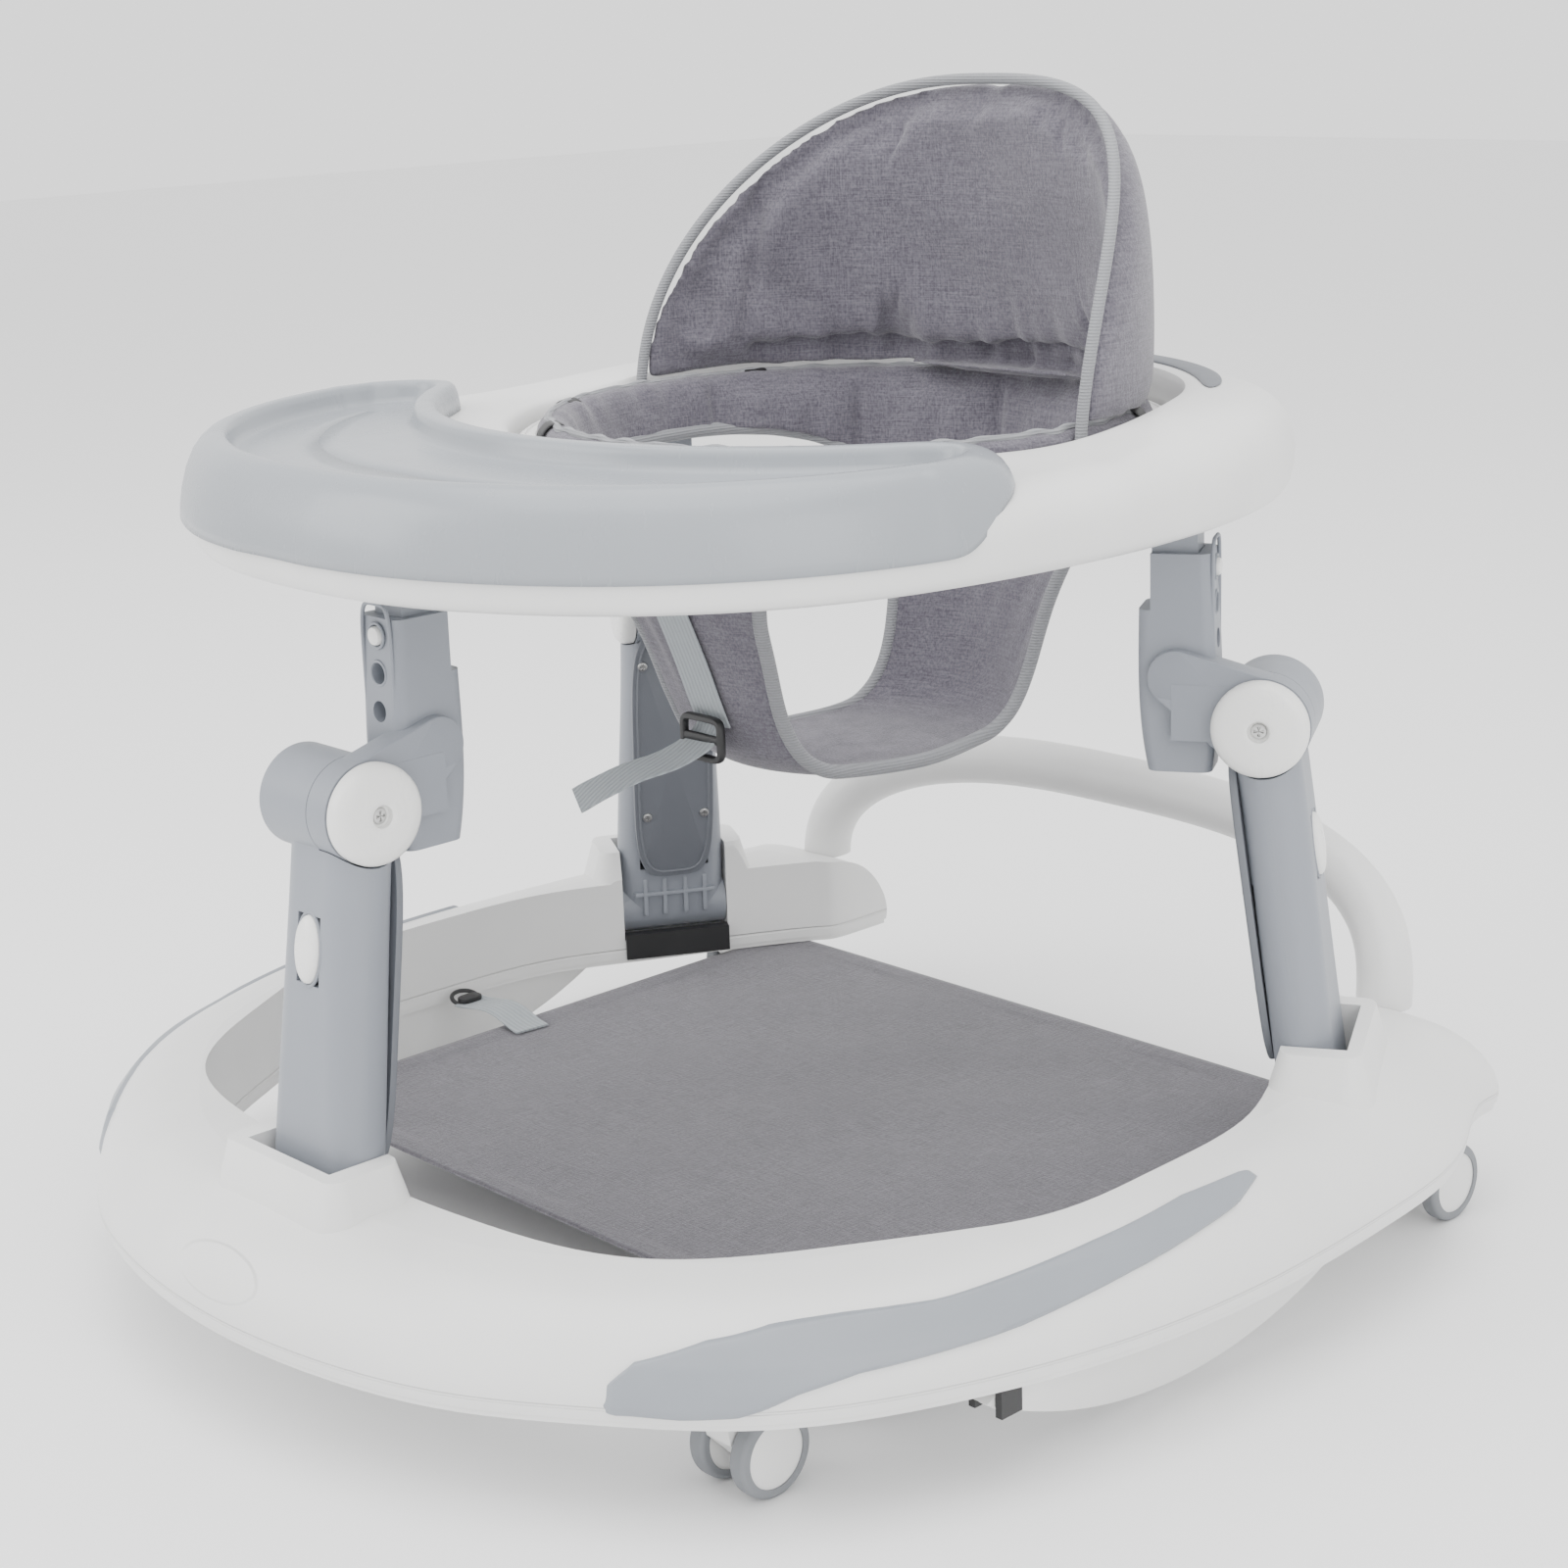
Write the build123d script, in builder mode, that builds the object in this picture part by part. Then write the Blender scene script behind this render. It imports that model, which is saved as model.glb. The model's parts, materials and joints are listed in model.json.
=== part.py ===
"""Baby walker: horseshoe base on four twin casters, three folding legs, tray ring and swivel seat."""
from build123d import *
from math import cos, pi, radians, sin
import os

os.makedirs("parts", exist_ok=True)

# ---------------------------------------------------------------- driving sizes (millimetres)
# +Z up, the floor is Z 0, the child faces -Y, +X is the child's left
wall = 3.0                       # moulded wall
slip = 0.5                       # gap between a moving piece and what it passes
pin_play = 0.05                  # radial play of a pin in its hole
rest_gap = 0.3                   # soft or seated piece to what carries it

# base
base_half_width = 356.0
base_half_length = 352.0
base_rear = 318.0                # rear face of the two base ends
pan_low = 54.0                   # underside of the base
pan_thickness = 3.0
base_top = 110.0                 # flat top of the bumper
opening_half_width = 297.0
opening_front = 262.0
opening_rear_half_width = 196.0

# legs, seen in the leg's own upright plane: "out" is the distance from the leg circle's centre
leg_circle_y = 29.0
foot_out = 308.0
foot_z = 88.0
knee_out = 279.0
knee_z = 300.0
top_out = 232.0
top_z = 436.0
foot_half_width = 35.0           # lower leg across, at the foot
shin_half_width = 29.0           # lower leg across, at the knee
shin_half_depth = 16.5
pocket_depth = 21.0              # hollow of the lower leg, behind its inner cover
hub_radius = 26.0
hub_side_low = -34.0             # the knee barrel, along its axis
hub_side_split = 6.0
hub_side_disc = 22.0
hub_side_cap = 34.0
thigh_half_width = 16.0
thigh_half_depth = 20.0
thigh_top = 389.0
thigh_bottom = 272.0
tongue_half_width = 11.0
tongue_half_depth = 12.0
tongue_bottom = 336.0
neck_radius = 8.0
hole_top_z = 380.0
hole_pitch = 19.0
hole_radius = 5.3
button_radius = 4.9
foot_pin_radius = 4.0
knee_pin_radius = 5.0
ring_pin_radius = 3.0
open_play = 8.5                  # room round the ring pins of the two rear legs, whose pivots are open
side_play = 3.5                  # and room to either side of their tongues
fold_button_z = 232.0

# top ring, tray and seat
ring_half_width = 265.0
ring_front = 272.0
ring_rear = 325.0
ring_low = 409.0
ring_wide_z = 428.0
deck_z = 452.0
seat_y = 100.0
well_radius = 185.0
seat_ring_gap = 3.0              # between the well's wall and the turning seat ring
seat_ring_width = 22.0
seat_ring_outer = well_radius - seat_ring_gap
seat_ring_inner = seat_ring_outer - seat_ring_width
seat_ring_top = 456.0
ledge_z = 434.0
ledge_inner = 172.0
hoop_half_width = 173.5
hoop_height = 168.0
hoop_back = 122.0
hoop_radius = 4.0
pan_depth = 198.0
fabric = 5.0

# casters
caster_spots = {"front_left": (231.0, -219.0), "front_right": (-231.0, -219.0),
                "rear_left": (284.0, 252.0), "rear_right": (-284.0, 252.0)}
wheel_radius = 22.0
wheel_width = 10.0
wheel_track = 28.0               # between the middles of the twin wheels
caster_trail = 13.0
tyre_thickness = 5.0
stem_radius = 5.0
boss_height = 24.0

# push handle, foot mat and rockers
handle_half_width = 230.0
handle_radius = 16.0
handle_foot_y = 296.0
handle_rise = 84.0
handle_socket_z = base_top - 10
mat_half_width = 236.0
mat_front = -150.0
mat_rear = 258.0
mat_z = 51.0
mat_thickness = 3.0
rocker_x = 316.0
rocker_front = -140.0
rocker_rear = 165.0
rocker_depth = 44.0
rocker_thickness = 12.0

pan_top = pan_low + pan_thickness


def save(piece, label):
    """Label a finished piece and write it to its own file."""
    piece.part.label = label
    export_step(piece.part, "parts/" + label + ".step")


# ---------------------------------------------------------------- base
# (share of the half width, share of the half length) round the left side, front centre first
base_shape = [(0.0, -1.0), (0.24, -0.975), (0.43, -0.915), (0.60, -0.81), (0.76, -0.68), (0.90, -0.44),
              (0.98, -0.16), (1.0, 0.12), (0.985, 0.38), (0.925, 0.66), (0.85, 0.83), (0.74, 0.903)]


def base_outline(inset, height):
    """Closed plan of the bumper, drawn in by inset."""
    half_x = base_half_width - inset
    half_y = base_half_length - inset
    rear = base_rear - inset
    left = [(x * half_x, y * half_y) for x, y in base_shape[:-1]]
    left.append((base_shape[-1][0] * half_x, rear))
    with BuildSketch(Plane.XY.offset(height)) as plan:
        with BuildLine():
            Spline(*left, tangents=((1, 0), (-1, 0)))
            Line(left[-1], (0, rear))
            mirror(about=Plane.YZ)
        make_face()
    return plan.sketch


def opening_outline(grow):
    """Plan of the space inside the horseshoe, which runs out between the two base ends."""
    half = opening_half_width + grow
    gate = opening_rear_half_width + grow
    left = [(0, -opening_front - grow), (0.34 * half, 6 - opening_front - grow),
            (0.62 * half, 30 - opening_front - grow), (0.86 * half, 0.54 * -opening_front - grow),
            (0.985 * half, 0.25 * -opening_front), (half, 15), (0.97 * half, 95), (0.885 * half, 150),
            (gate + 34, 215), (gate + 6, 262), (gate, 292)]
    with BuildSketch() as plan:
        with BuildLine():
            Spline(*left, tangents=((1, 0), (0, 1)))
            Line(left[-1], (gate, base_rear + 40))
            Line((gate, base_rear + 40), (0, base_rear + 40))
            mirror(about=Plane.YZ)
        make_face()
    return plan.sketch


def bumper(inset):
    """Solid bumper: the convex face from the bottom rim up to the flat top, drawn in by inset."""
    with BuildPart() as body:
        for drawn_in, height in ((1, pan_top), (0, 65), (6, 82), (20, 98), (42, 107.5), (58, base_top)):
            add(base_outline(drawn_in + inset, height - (inset if height > pan_top else 0)))
        loft()
    return body.part


leg_angles = {"front": -90.0, "left": 30.0, "right": 150.0}
leg_sides = {"front": 1, "left": -1, "right": 1}          # which way the knee's cap faces


def leg_plane(angle, out=0.0, height=0.0):
    """Upright leg frame: x outwards, y along the hinge axes, z up."""
    turn = radians(angle)
    place = (out * cos(turn), leg_circle_y + out * sin(turn), height)
    return Plane(origin=place, x_dir=(cos(turn), sin(turn), 0), z_dir=(0, 0, 1))


def side_plane(angle):
    """Plane of the leg's side view: x outwards, y up, its normal along minus the hinge axis."""
    turn = radians(angle)
    return Plane(origin=(0, leg_circle_y, 0), x_dir=(cos(turn), sin(turn), 0),
                 z_dir=(sin(turn), -cos(turn), 0))


socket_gap = foot_half_width + slip
socket_inner = foot_out - 46
socket_outer = foot_out + shin_half_depth + 3
socket_floor = foot_z - shin_half_depth - 2
latch_bar_out = foot_out - 19
latch_bar_depth = 8.0
latch_bar_height = 17.0

with BuildPart() as hollow:
    add(bumper(wall))
    extrude(opening_outline(wall), amount=base_top + 20, mode=Mode.SUBTRACT)
    for angle in leg_angles.values():
        with Locations(leg_plane(angle)):
            with Locations(((socket_inner + socket_outer) / 2, 0, base_top / 2)):
                Box(socket_outer - socket_inner + 2 * wall, 2 * (socket_gap + wall), base_top + 20,
                    mode=Mode.SUBTRACT)

with BuildPart() as base_shell:
    add(bumper(0))
    for angle in leg_angles.values():
        with BuildSketch(leg_plane(angle, foot_out + 6, base_top - 14)):
            RectangleRounded(62, 2 * socket_gap + 44, 18)
        extrude(amount=34, taper=16)
    add(hollow.part, mode=Mode.SUBTRACT)
    extrude(opening_outline(0), amount=base_top + 60, mode=Mode.SUBTRACT)
    for angle in leg_angles.values():
        with Locations(leg_plane(angle)):
            with Locations(((socket_inner + socket_outer) / 2, 0, socket_floor + 60)):
                Box(socket_outer - socket_inner, 2 * socket_gap, 120, mode=Mode.SUBTRACT)
            with Locations((latch_bar_out, 0, pan_top)):
                Box(latch_bar_depth, 2 * socket_gap - 1, latch_bar_height,
                    align=(Align.CENTER, Align.CENTER, Align.MIN), mode=Mode.SUBTRACT)
        with BuildSketch(Plane(origin=leg_plane(angle, foot_out, foot_z).origin,
                               z_dir=leg_plane(angle).y_dir)):
            Circle(foot_pin_radius + pin_play)
        extrude(amount=socket_gap + 12, both=True, mode=Mode.SUBTRACT)
    for side in (1, -1):
        with Locations((side * handle_half_width, handle_foot_y, handle_socket_z)):
            Cylinder(handle_radius + rest_gap, 40, align=(Align.CENTER, Align.CENTER, Align.MIN),
                     mode=Mode.SUBTRACT)
save(base_shell, "base_shell")

with BuildPart() as base_pan:
    extrude(base_outline(2, pan_low), amount=pan_thickness)
    extrude(opening_outline(1), amount=base_top, mode=Mode.SUBTRACT)
    for spot in caster_spots.values():
        with Locations((spot[0], spot[1], pan_top)):
            Cylinder(stem_radius + 5, boss_height, align=(Align.CENTER, Align.CENTER, Align.MIN))
        with Locations((spot[0], spot[1], pan_low - 1)):
            Cylinder(stem_radius + pin_play, boss_height + 10,
                     align=(Align.CENTER, Align.CENTER, Align.MIN), mode=Mode.SUBTRACT)
save(base_pan, "base_pan")

panel_thickness = 2.0
for name, side in (("left", 1), ("right", -1)):
    with BuildPart() as band:
        with BuildSketch(Plane.YZ):
            with BuildLine():
                low = Spline((-300, 59), (-236, 59), (-150, 72), (-50, 88), (58, 101))
                Spline(low @ 1, (-60, 97), (-180, 88), (-262, 82), low @ 0)
            make_face()
        extrude(amount=side * 400)
    with BuildPart() as side_panel:
        add(bumper(-panel_thickness))
        add(bumper(0), mode=Mode.SUBTRACT)
        add(band.part, mode=Mode.INTERSECT)
    save(side_panel, "side_panel_" + name)

with BuildPart() as foot_pins:
    for angle in leg_angles.values():
        axis = Plane(origin=leg_plane(angle, foot_out, foot_z).origin, z_dir=leg_plane(angle).y_dir)
        with BuildSketch(axis):
            Circle(foot_pin_radius)
        extrude(amount=socket_gap + wall, both=True)
save(foot_pins, "foot_pins")

with BuildPart() as latch_bars:
    for angle in leg_angles.values():
        with Locations(leg_plane(angle)):
            with Locations((latch_bar_out, 0, pan_top)):
                Box(latch_bar_depth, 2 * socket_gap - 1, latch_bar_height,
                    align=(Align.CENTER, Align.CENTER, Align.MIN))
save(latch_bars, "latch_bars")

# ---------------------------------------------------------------- push handle
handle_lean = base_half_length - handle_radius - handle_foot_y
handle_seat = handle_socket_z + 2 + rest_gap
handle_turns = 12


def bow_point(step):
    """Point of the bow, a rounded arch leaning back; step runs from one foot to the other."""
    turn = pi / 2 * step / handle_turns
    rise = abs(sin(turn)) ** 0.72
    width = handle_half_width * abs(cos(turn)) ** 0.72
    return (width if step <= handle_turns else -width, handle_foot_y + handle_lean * rise ** 2,
            handle_seat + handle_rise * rise)


with BuildPart() as push_handle:
    with BuildLine() as bow:
        Spline(*[bow_point(step) for step in range(2 * handle_turns + 1)])
    with BuildSketch(Plane(origin=bow.line @ 0, z_dir=(0, 0, 1))):
        Circle(handle_radius)
    sweep()
save(push_handle, "push_handle")

# ---------------------------------------------------------------- foot mat and its ties
with BuildPart() as foot_mat:
    with BuildSketch(Plane.XY.offset(mat_z)):
        with Locations((0, (mat_front + mat_rear) / 2)):
            RectangleRounded(2 * mat_half_width, mat_rear - mat_front, 14)
    extrude(amount=mat_thickness)
save(foot_mat, "foot_mat")

tie_width = 25.0
tie_thickness = 1.4
tie_rows = (-104.0, 20.0)
tie_reach = opening_half_width + 7 - mat_half_width
with BuildPart() as mat_ties:
    for side in (1, -1):
        for row in tie_rows:
            with Locations((side * (mat_half_width + rest_gap + tie_reach / 2), row,
                            pan_low - rest_gap - tie_thickness / 2)):
                Box(tie_reach, tie_width, tie_thickness)
save(mat_ties, "mat_ties")

# ---------------------------------------------------------------- rockers under the base sides
rocker_pin_y = rocker_front + 12
rocker_pin_z = pan_low - 8
for name, side in (("left", 1), ("right", -1)):
    with BuildPart() as rocker:
        with BuildSketch(Plane.YZ.offset(side * rocker_x - rocker_thickness / 2)):
            with BuildLine():
                crown = ThreePointArc((rocker_front, pan_low - 6),
                                      ((rocker_front + rocker_rear) / 2, pan_low - rocker_depth - slip),
                                      (rocker_rear, pan_low - slip))
                Polyline(crown @ 1, (rocker_pin_y, pan_low - slip), crown @ 0)
            make_face()
            with Locations((rocker_pin_y, rocker_pin_z + 1)):
                Circle(6.5)
        extrude(amount=rocker_thickness)
        with Locations(Plane(origin=(side * rocker_x, rocker_pin_y, rocker_pin_z + 1), z_dir=(1, 0, 0))):
            Cylinder(3 + pin_play, rocker_thickness + 2, mode=Mode.SUBTRACT)
    save(rocker, "rocker_" + name)

with BuildPart() as rocker_brackets:
    for side in (1, -1):
        for step in (-1, 1):
            ear_x = side * rocker_x + step * (rocker_thickness / 2 + slip + 2)
            with Locations((ear_x, rocker_pin_y, (rocker_pin_z - 6 + pan_low) / 2)):
                Box(4, 14, pan_low - rocker_pin_z + 6)
        with Locations(Plane(origin=(side * rocker_x, rocker_pin_y, rocker_pin_z + 1), z_dir=(1, 0, 0))):
            Cylinder(3, rocker_thickness + 2 * slip + 2)
save(rocker_brackets, "rocker_brackets")

# ---------------------------------------------------------------- casters
axle_z = wheel_radius
axle_radius = 3.0
rim_radius = wheel_radius - tyre_thickness
block_half = wheel_track / 2 - wheel_width / 2 - slip
for name, (cx, cy) in caster_spots.items():
    axle_y = cy + caster_trail
    with BuildPart() as caster_fork:
        with Locations((cx, cy, pan_low - slip)):
            Cylinder(stem_radius, boss_height, align=(Align.CENTER, Align.CENTER, Align.MIN))
            Cylinder(15, 4, align=(Align.CENTER, Align.CENTER, Align.MAX))
        with BuildSketch(Plane.YZ.offset(cx - block_half)):
            with BuildLine():
                Polyline((cy - 10, pan_low - slip - 3), (cy + 14, pan_low - slip - 3),
                         (axle_y + 9, axle_z), (axle_y - 4, axle_z - 8), (cy - 6, axle_z + 8),
                         (cy - 10, pan_low - slip - 3))
            make_face()
        extrude(amount=2 * block_half)
        with Locations(Plane(origin=(cx, axle_y, axle_z), z_dir=(1, 0, 0))):
            Cylinder(axle_radius + pin_play, 40, mode=Mode.SUBTRACT)
    save(caster_fork, "caster_fork_" + name)
    with BuildPart() as wheel_hubs:
        with Locations(Plane(origin=(cx, axle_y, axle_z), z_dir=(1, 0, 0))):
            Cylinder(axle_radius, wheel_track)
        for side in (1, -1):
            with Locations(Plane(origin=(cx + side * wheel_track / 2, axle_y, axle_z), z_dir=(1, 0, 0))):
                Cylinder(rim_radius, wheel_width - 2)
    save(wheel_hubs, "wheel_hubs_" + name)
    with BuildPart() as wheel_tyres:
        for side in (1, -1):
            hub = Plane(origin=(cx + side * wheel_track / 2, axle_y, axle_z), z_dir=(1, 0, 0))
            with Locations(hub):
                Cylinder(wheel_radius, wheel_width)
                Cylinder(rim_radius, wheel_width + 2, mode=Mode.SUBTRACT)
        fillet(wheel_tyres.edges().filter_by(GeomType.CIRCLE).filter_by(
            lambda edge: abs(edge.radius - wheel_radius) < 0.01), 2.5)
    save(wheel_tyres, "wheel_tyres_" + name)

# ---------------------------------------------------------------- legs
def barrel(plane, low, high, radius, mode=Mode.ADD):
    """Cylinder along a leg's hinge axis, between two places on that axis."""
    axis = Plane(origin=(plane * Location((0, (low + high) / 2, 0))).position, z_dir=plane.y_dir)
    with Locations(axis):
        Cylinder(radius, abs(high - low), mode=mode)


def across(side, low, high):
    """A stretch of the hinge axis, turned over for a leg whose cap faces the other way."""
    return (side * low, side * high)


for name, angle in leg_angles.items():
    side = leg_sides[name]
    knee = leg_plane(angle, knee_out, knee_z)
    foot = leg_plane(angle, foot_out, foot_z)
    top = leg_plane(angle, top_out, top_z)

    # lower leg: oval sections up a leaning line, with the knee's barrel on top
    with BuildPart() as lower_leg:
        for share, half_width, half_depth in ((0.0, foot_half_width, shin_half_depth),
                                              (0.30, foot_half_width - 1, shin_half_depth),
                                              (0.70, shin_half_width + 1, shin_half_depth + 1),
                                              (0.96, shin_half_width, shin_half_depth + 1)):
            out = foot_out + share * (knee_out - foot_out)
            height = foot_z + share * (knee_z - foot_z)
            with BuildSketch(leg_plane(angle, out, height)):
                RectangleRounded(2 * half_depth, 2 * half_width, half_depth - 1)
        loft()
        barrel(foot, -foot_half_width, foot_half_width, shin_half_depth)
        barrel(knee, *across(side, hub_side_split, 40), hub_radius + slip, Mode.SUBTRACT)
        barrel(knee, *across(side, -40, hub_side_split), hub_radius)
        barrel(knee, *across(side, -50, hub_side_low), hub_radius + 1, Mode.SUBTRACT)
        barrel(knee, -60, 60, knee_pin_radius + pin_play, Mode.SUBTRACT)
        barrel(foot, -60, 60, foot_pin_radius + pin_play, Mode.SUBTRACT)
        with Locations(leg_plane(angle)):
            with Locations((foot_out - 0.68 * (foot_out - knee_out) + shin_half_depth + 1, 0, fold_button_z)):
                Box(24, 18 + 2 * slip, 34 + 2 * slip, mode=Mode.SUBTRACT)
            with Locations((foot_out - 0.35 * (foot_out - knee_out) - shin_half_depth, 0, 166)):
                Box(2 * pocket_depth, 46, 96, mode=Mode.SUBTRACT)
    save(lower_leg, "lower_leg_" + name)

    with BuildPart() as leg_cover:
        with Locations(leg_plane(angle)):
            with Locations((foot_out - 0.35 * (foot_out - knee_out) - shin_half_depth + 0.5, 0, 166)):
                Box(4, 45, 95)
    save(leg_cover, "leg_cover_" + name)

    with BuildPart() as fold_button:
        with BuildSketch(Plane(origin=leg_plane(angle, foot_out - 0.68 * (foot_out - knee_out)
                                                + shin_half_depth - 5, fold_button_z).origin,
                               x_dir=leg_plane(angle).y_dir, z_dir=leg_plane(angle).x_dir)):
            Ellipse(9, 17)
        extrude(amount=11)
    save(fold_button, "fold_button_" + name)

    with BuildPart() as knee_bolt:
        barrel(knee, *across(side, hub_side_low + 4, hub_side_disc), knee_pin_radius)
    save(knee_bolt, "knee_bolt_" + name)

    # upper leg: a sleeve inboard of the knee barrel, joined to the knuckle disc beside the barrel
    with BuildPart() as upper_leg:
        for height, out, half_depth, half_width in (
                (thigh_bottom, top_out + 3, thigh_half_depth - 3, thigh_half_width - 1),
                (knee_z, top_out + 2, thigh_half_depth, thigh_half_width),
                (thigh_top - 40, top_out + 1, thigh_half_depth, thigh_half_width),
                (thigh_top, top_out, thigh_half_depth - 1, thigh_half_width)):
            with BuildSketch(leg_plane(angle, out, height)):
                RectangleRounded(2 * half_depth, 2 * half_width, 6)
        loft()
        barrel(knee, *across(side, hub_side_split + slip, hub_side_disc), hub_radius)
        with Locations(leg_plane(angle)):
            with Locations(((top_out + knee_out) / 2, side * (hub_side_split + slip + hub_side_disc) / 2,
                            knee_z + 6)):
                Box(knee_out - top_out, hub_side_disc - hub_side_split - slip, 30)
        barrel(knee, *across(side, -50, hub_side_split + slip), hub_radius + slip, Mode.SUBTRACT)
        barrel(knee, -60, 60, knee_pin_radius + pin_play, Mode.SUBTRACT)
        with Locations(leg_plane(angle)):
            with Locations((top_out, 0, (tongue_bottom - 2 * hole_pitch - 3 + thigh_top + 5) / 2)):
                Box(2 * (tongue_half_depth + slip), 2 * (tongue_half_width + slip),
                    thigh_top + 5 - tongue_bottom + 2 * hole_pitch + 3, mode=Mode.SUBTRACT)
            with Locations((top_out - thigh_half_depth, 0, thigh_top)):
                Box(2 * (thigh_half_depth - tongue_half_depth), 40, 60, mode=Mode.SUBTRACT)
        for count in range(3):
            spot = leg_plane(angle, top_out, hole_top_z - count * hole_pitch)
            with Locations(Plane(origin=spot.origin, z_dir=spot.x_dir)):
                Cylinder(hole_radius, 60, align=(Align.CENTER, Align.CENTER, Align.MIN), mode=Mode.SUBTRACT)
    save(upper_leg, "upper_leg_" + name)

    with BuildPart() as knee_cap:
        barrel(knee, *across(side, hub_side_disc + 0.2, hub_side_cap), hub_radius - 0.5)
        chamfer(knee_cap.edges().filter_by(GeomType.CIRCLE).sort_by(
            Axis(knee.origin, knee.y_dir))[-1 if side > 0 else 0], 5)
        barrel(knee, *across(side, hub_side_cap - 5, hub_side_cap + 5), 5, Mode.SUBTRACT)
    save(knee_cap, "knee_cap_" + name)

    with BuildPart() as tongue:
        with BuildSketch(side_plane(angle)) as profile:
            with BuildLine():
                Polyline((top_out - tongue_half_depth, tongue_bottom),
                         (top_out + tongue_half_depth, tongue_bottom),
                         (top_out + tongue_half_depth, top_z - 24), (top_out + neck_radius, top_z - 10),
                         (top_out + neck_radius, top_z), (top_out - neck_radius, top_z),
                         (top_out - neck_radius, top_z - 10), (top_out - tongue_half_depth, top_z - 24),
                         (top_out - tongue_half_depth, tongue_bottom))
            make_face()
            with Locations((top_out, top_z)):
                Circle(neck_radius)
        extrude(amount=tongue_half_width, both=True)
        barrel(top, -30, 30, ring_pin_radius + (pin_play if name == "front" else open_play), Mode.SUBTRACT)
        spot = leg_plane(angle, top_out + tongue_half_depth - 9, hole_top_z)
        with Locations(Plane(origin=spot.origin, z_dir=spot.x_dir)):
            Cylinder(button_radius + slip, 20, align=(Align.CENTER, Align.CENTER, Align.MIN),
                     mode=Mode.SUBTRACT)
    save(tongue, "height_tongue_" + name)

    with BuildPart() as height_button:
        spot = leg_plane(angle, top_out + tongue_half_depth - 4, hole_top_z)
        with Locations(Plane(origin=spot.origin, z_dir=spot.x_dir)):
            Cylinder(button_radius, thigh_half_depth - tongue_half_depth + 6.5,
                     align=(Align.CENTER, Align.CENTER, Align.MIN))
    save(height_button, "height_button_" + name)

# ---------------------------------------------------------------- top ring
ring_middle = (ring_rear - ring_front) / 2
ring_half_length = (ring_rear + ring_front) / 2
ring_front_shape = [(0.0, -1.0), (0.36, -0.955), (0.70, -0.775), (0.92, -0.47), (1.0, 0.0)]
ring_rear_shape = [(1.0, 0.0), (0.93, 0.45), (0.715, 0.77), (0.38, 0.95), (0.0, 1.0)]


def ring_outline(inset, height):
    """Closed plan of the ring, drawn in by inset."""
    half_x = ring_half_width - inset
    half_y = ring_half_length - inset
    with BuildSketch(Plane.XY.offset(height)) as plan:
        with BuildLine():
            Spline(*[(x * half_x, ring_middle + y * half_y) for x, y in ring_front_shape],
                   tangents=((1, 0), (0, 1)))
            Spline(*[(x * half_x, ring_middle + y * half_y) for x, y in ring_rear_shape],
                   tangents=((0, 1), (-1, 0)))
            mirror(about=Plane.YZ)
        make_face()
    return plan.sketch


def ring_body(inset, low):
    """Solid ring without its well: rounded side, flat deck on top, drawn in by inset."""
    with BuildPart() as body:
        for drawn_in, height in ((10, low), (2, low + 8), (0, ring_wide_z), (5, ring_wide_z + 13),
                                 (16, deck_z - 3 - inset), (26, deck_z - inset)):
            add(ring_outline(drawn_in + inset, height))
        loft()
    return body.part


lug_gap = {"front": tongue_half_width + slip, "left": tongue_half_width + slip + side_play,
           "right": tongue_half_width + slip + side_play}
lug_wall = 4.0
relief_top = 441.0               # notch in the well's foot, which lets the folding tongue pass
relief_reach = 24.0
relief_depth = 30.0

with BuildPart() as ring_shell:
    add(ring_body(0, ring_low))
    with BuildSketch(Plane.XY.offset(deck_z)):
        add(ring_outline(12, 0))
        with Locations((0, seat_y)):
            Circle(well_radius + wall, mode=Mode.SUBTRACT)
        with Locations((0, -400 + seat_y)):
            Rectangle(900, 800, mode=Mode.SUBTRACT)
    extrude(amount=10)
    add(ring_body(wall, ring_low - 1), mode=Mode.SUBTRACT)
    with Locations((0, seat_y, ledge_z)):
        Cylinder(well_radius + wall, deck_z - ledge_z - 1, align=(Align.CENTER, Align.CENTER, Align.MIN))
        Cylinder(well_radius, 60, align=(Align.CENTER, Align.CENTER, Align.MIN), mode=Mode.SUBTRACT)
        Cylinder(well_radius + wall, 3, align=(Align.CENTER, Align.CENTER, Align.MIN))
    with Locations((0, seat_y, ring_low)):
        Cylinder(ledge_inner, 80, align=(Align.CENTER, Align.CENTER, Align.MIN), mode=Mode.SUBTRACT)
    for name, angle in leg_angles.items():
        with Locations(leg_plane(angle, top_out - relief_reach, (ring_low + relief_top) / 2)):
            Box(relief_depth, 2 * lug_gap[name] + 2, relief_top - ring_low, mode=Mode.SUBTRACT)
        for step in (-1, 1):
            with Locations(leg_plane(angle)):
                with Locations((top_out, step * (lug_gap[name] + lug_wall / 2),
                                (top_z - 8 + deck_z - wall) / 2)):
                    Box(18, lug_wall, deck_z - wall - top_z + 8)
        axis = Plane(origin=leg_plane(angle, top_out, top_z).origin, z_dir=leg_plane(angle).y_dir)
        with Locations(axis):
            Cylinder(ring_pin_radius + pin_play, 2 * (lug_gap[name] + lug_wall) + 2, mode=Mode.SUBTRACT)
save(ring_shell, "ring_shell")

with BuildPart() as ring_pins:
    for name, angle in leg_angles.items():
        axis = Plane(origin=leg_plane(angle, top_out, top_z).origin, z_dir=leg_plane(angle).y_dir)
        with Locations(axis):
            Cylinder(ring_pin_radius, 2 * (lug_gap[name] + lug_wall))
save(ring_pins, "ring_pins")

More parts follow.
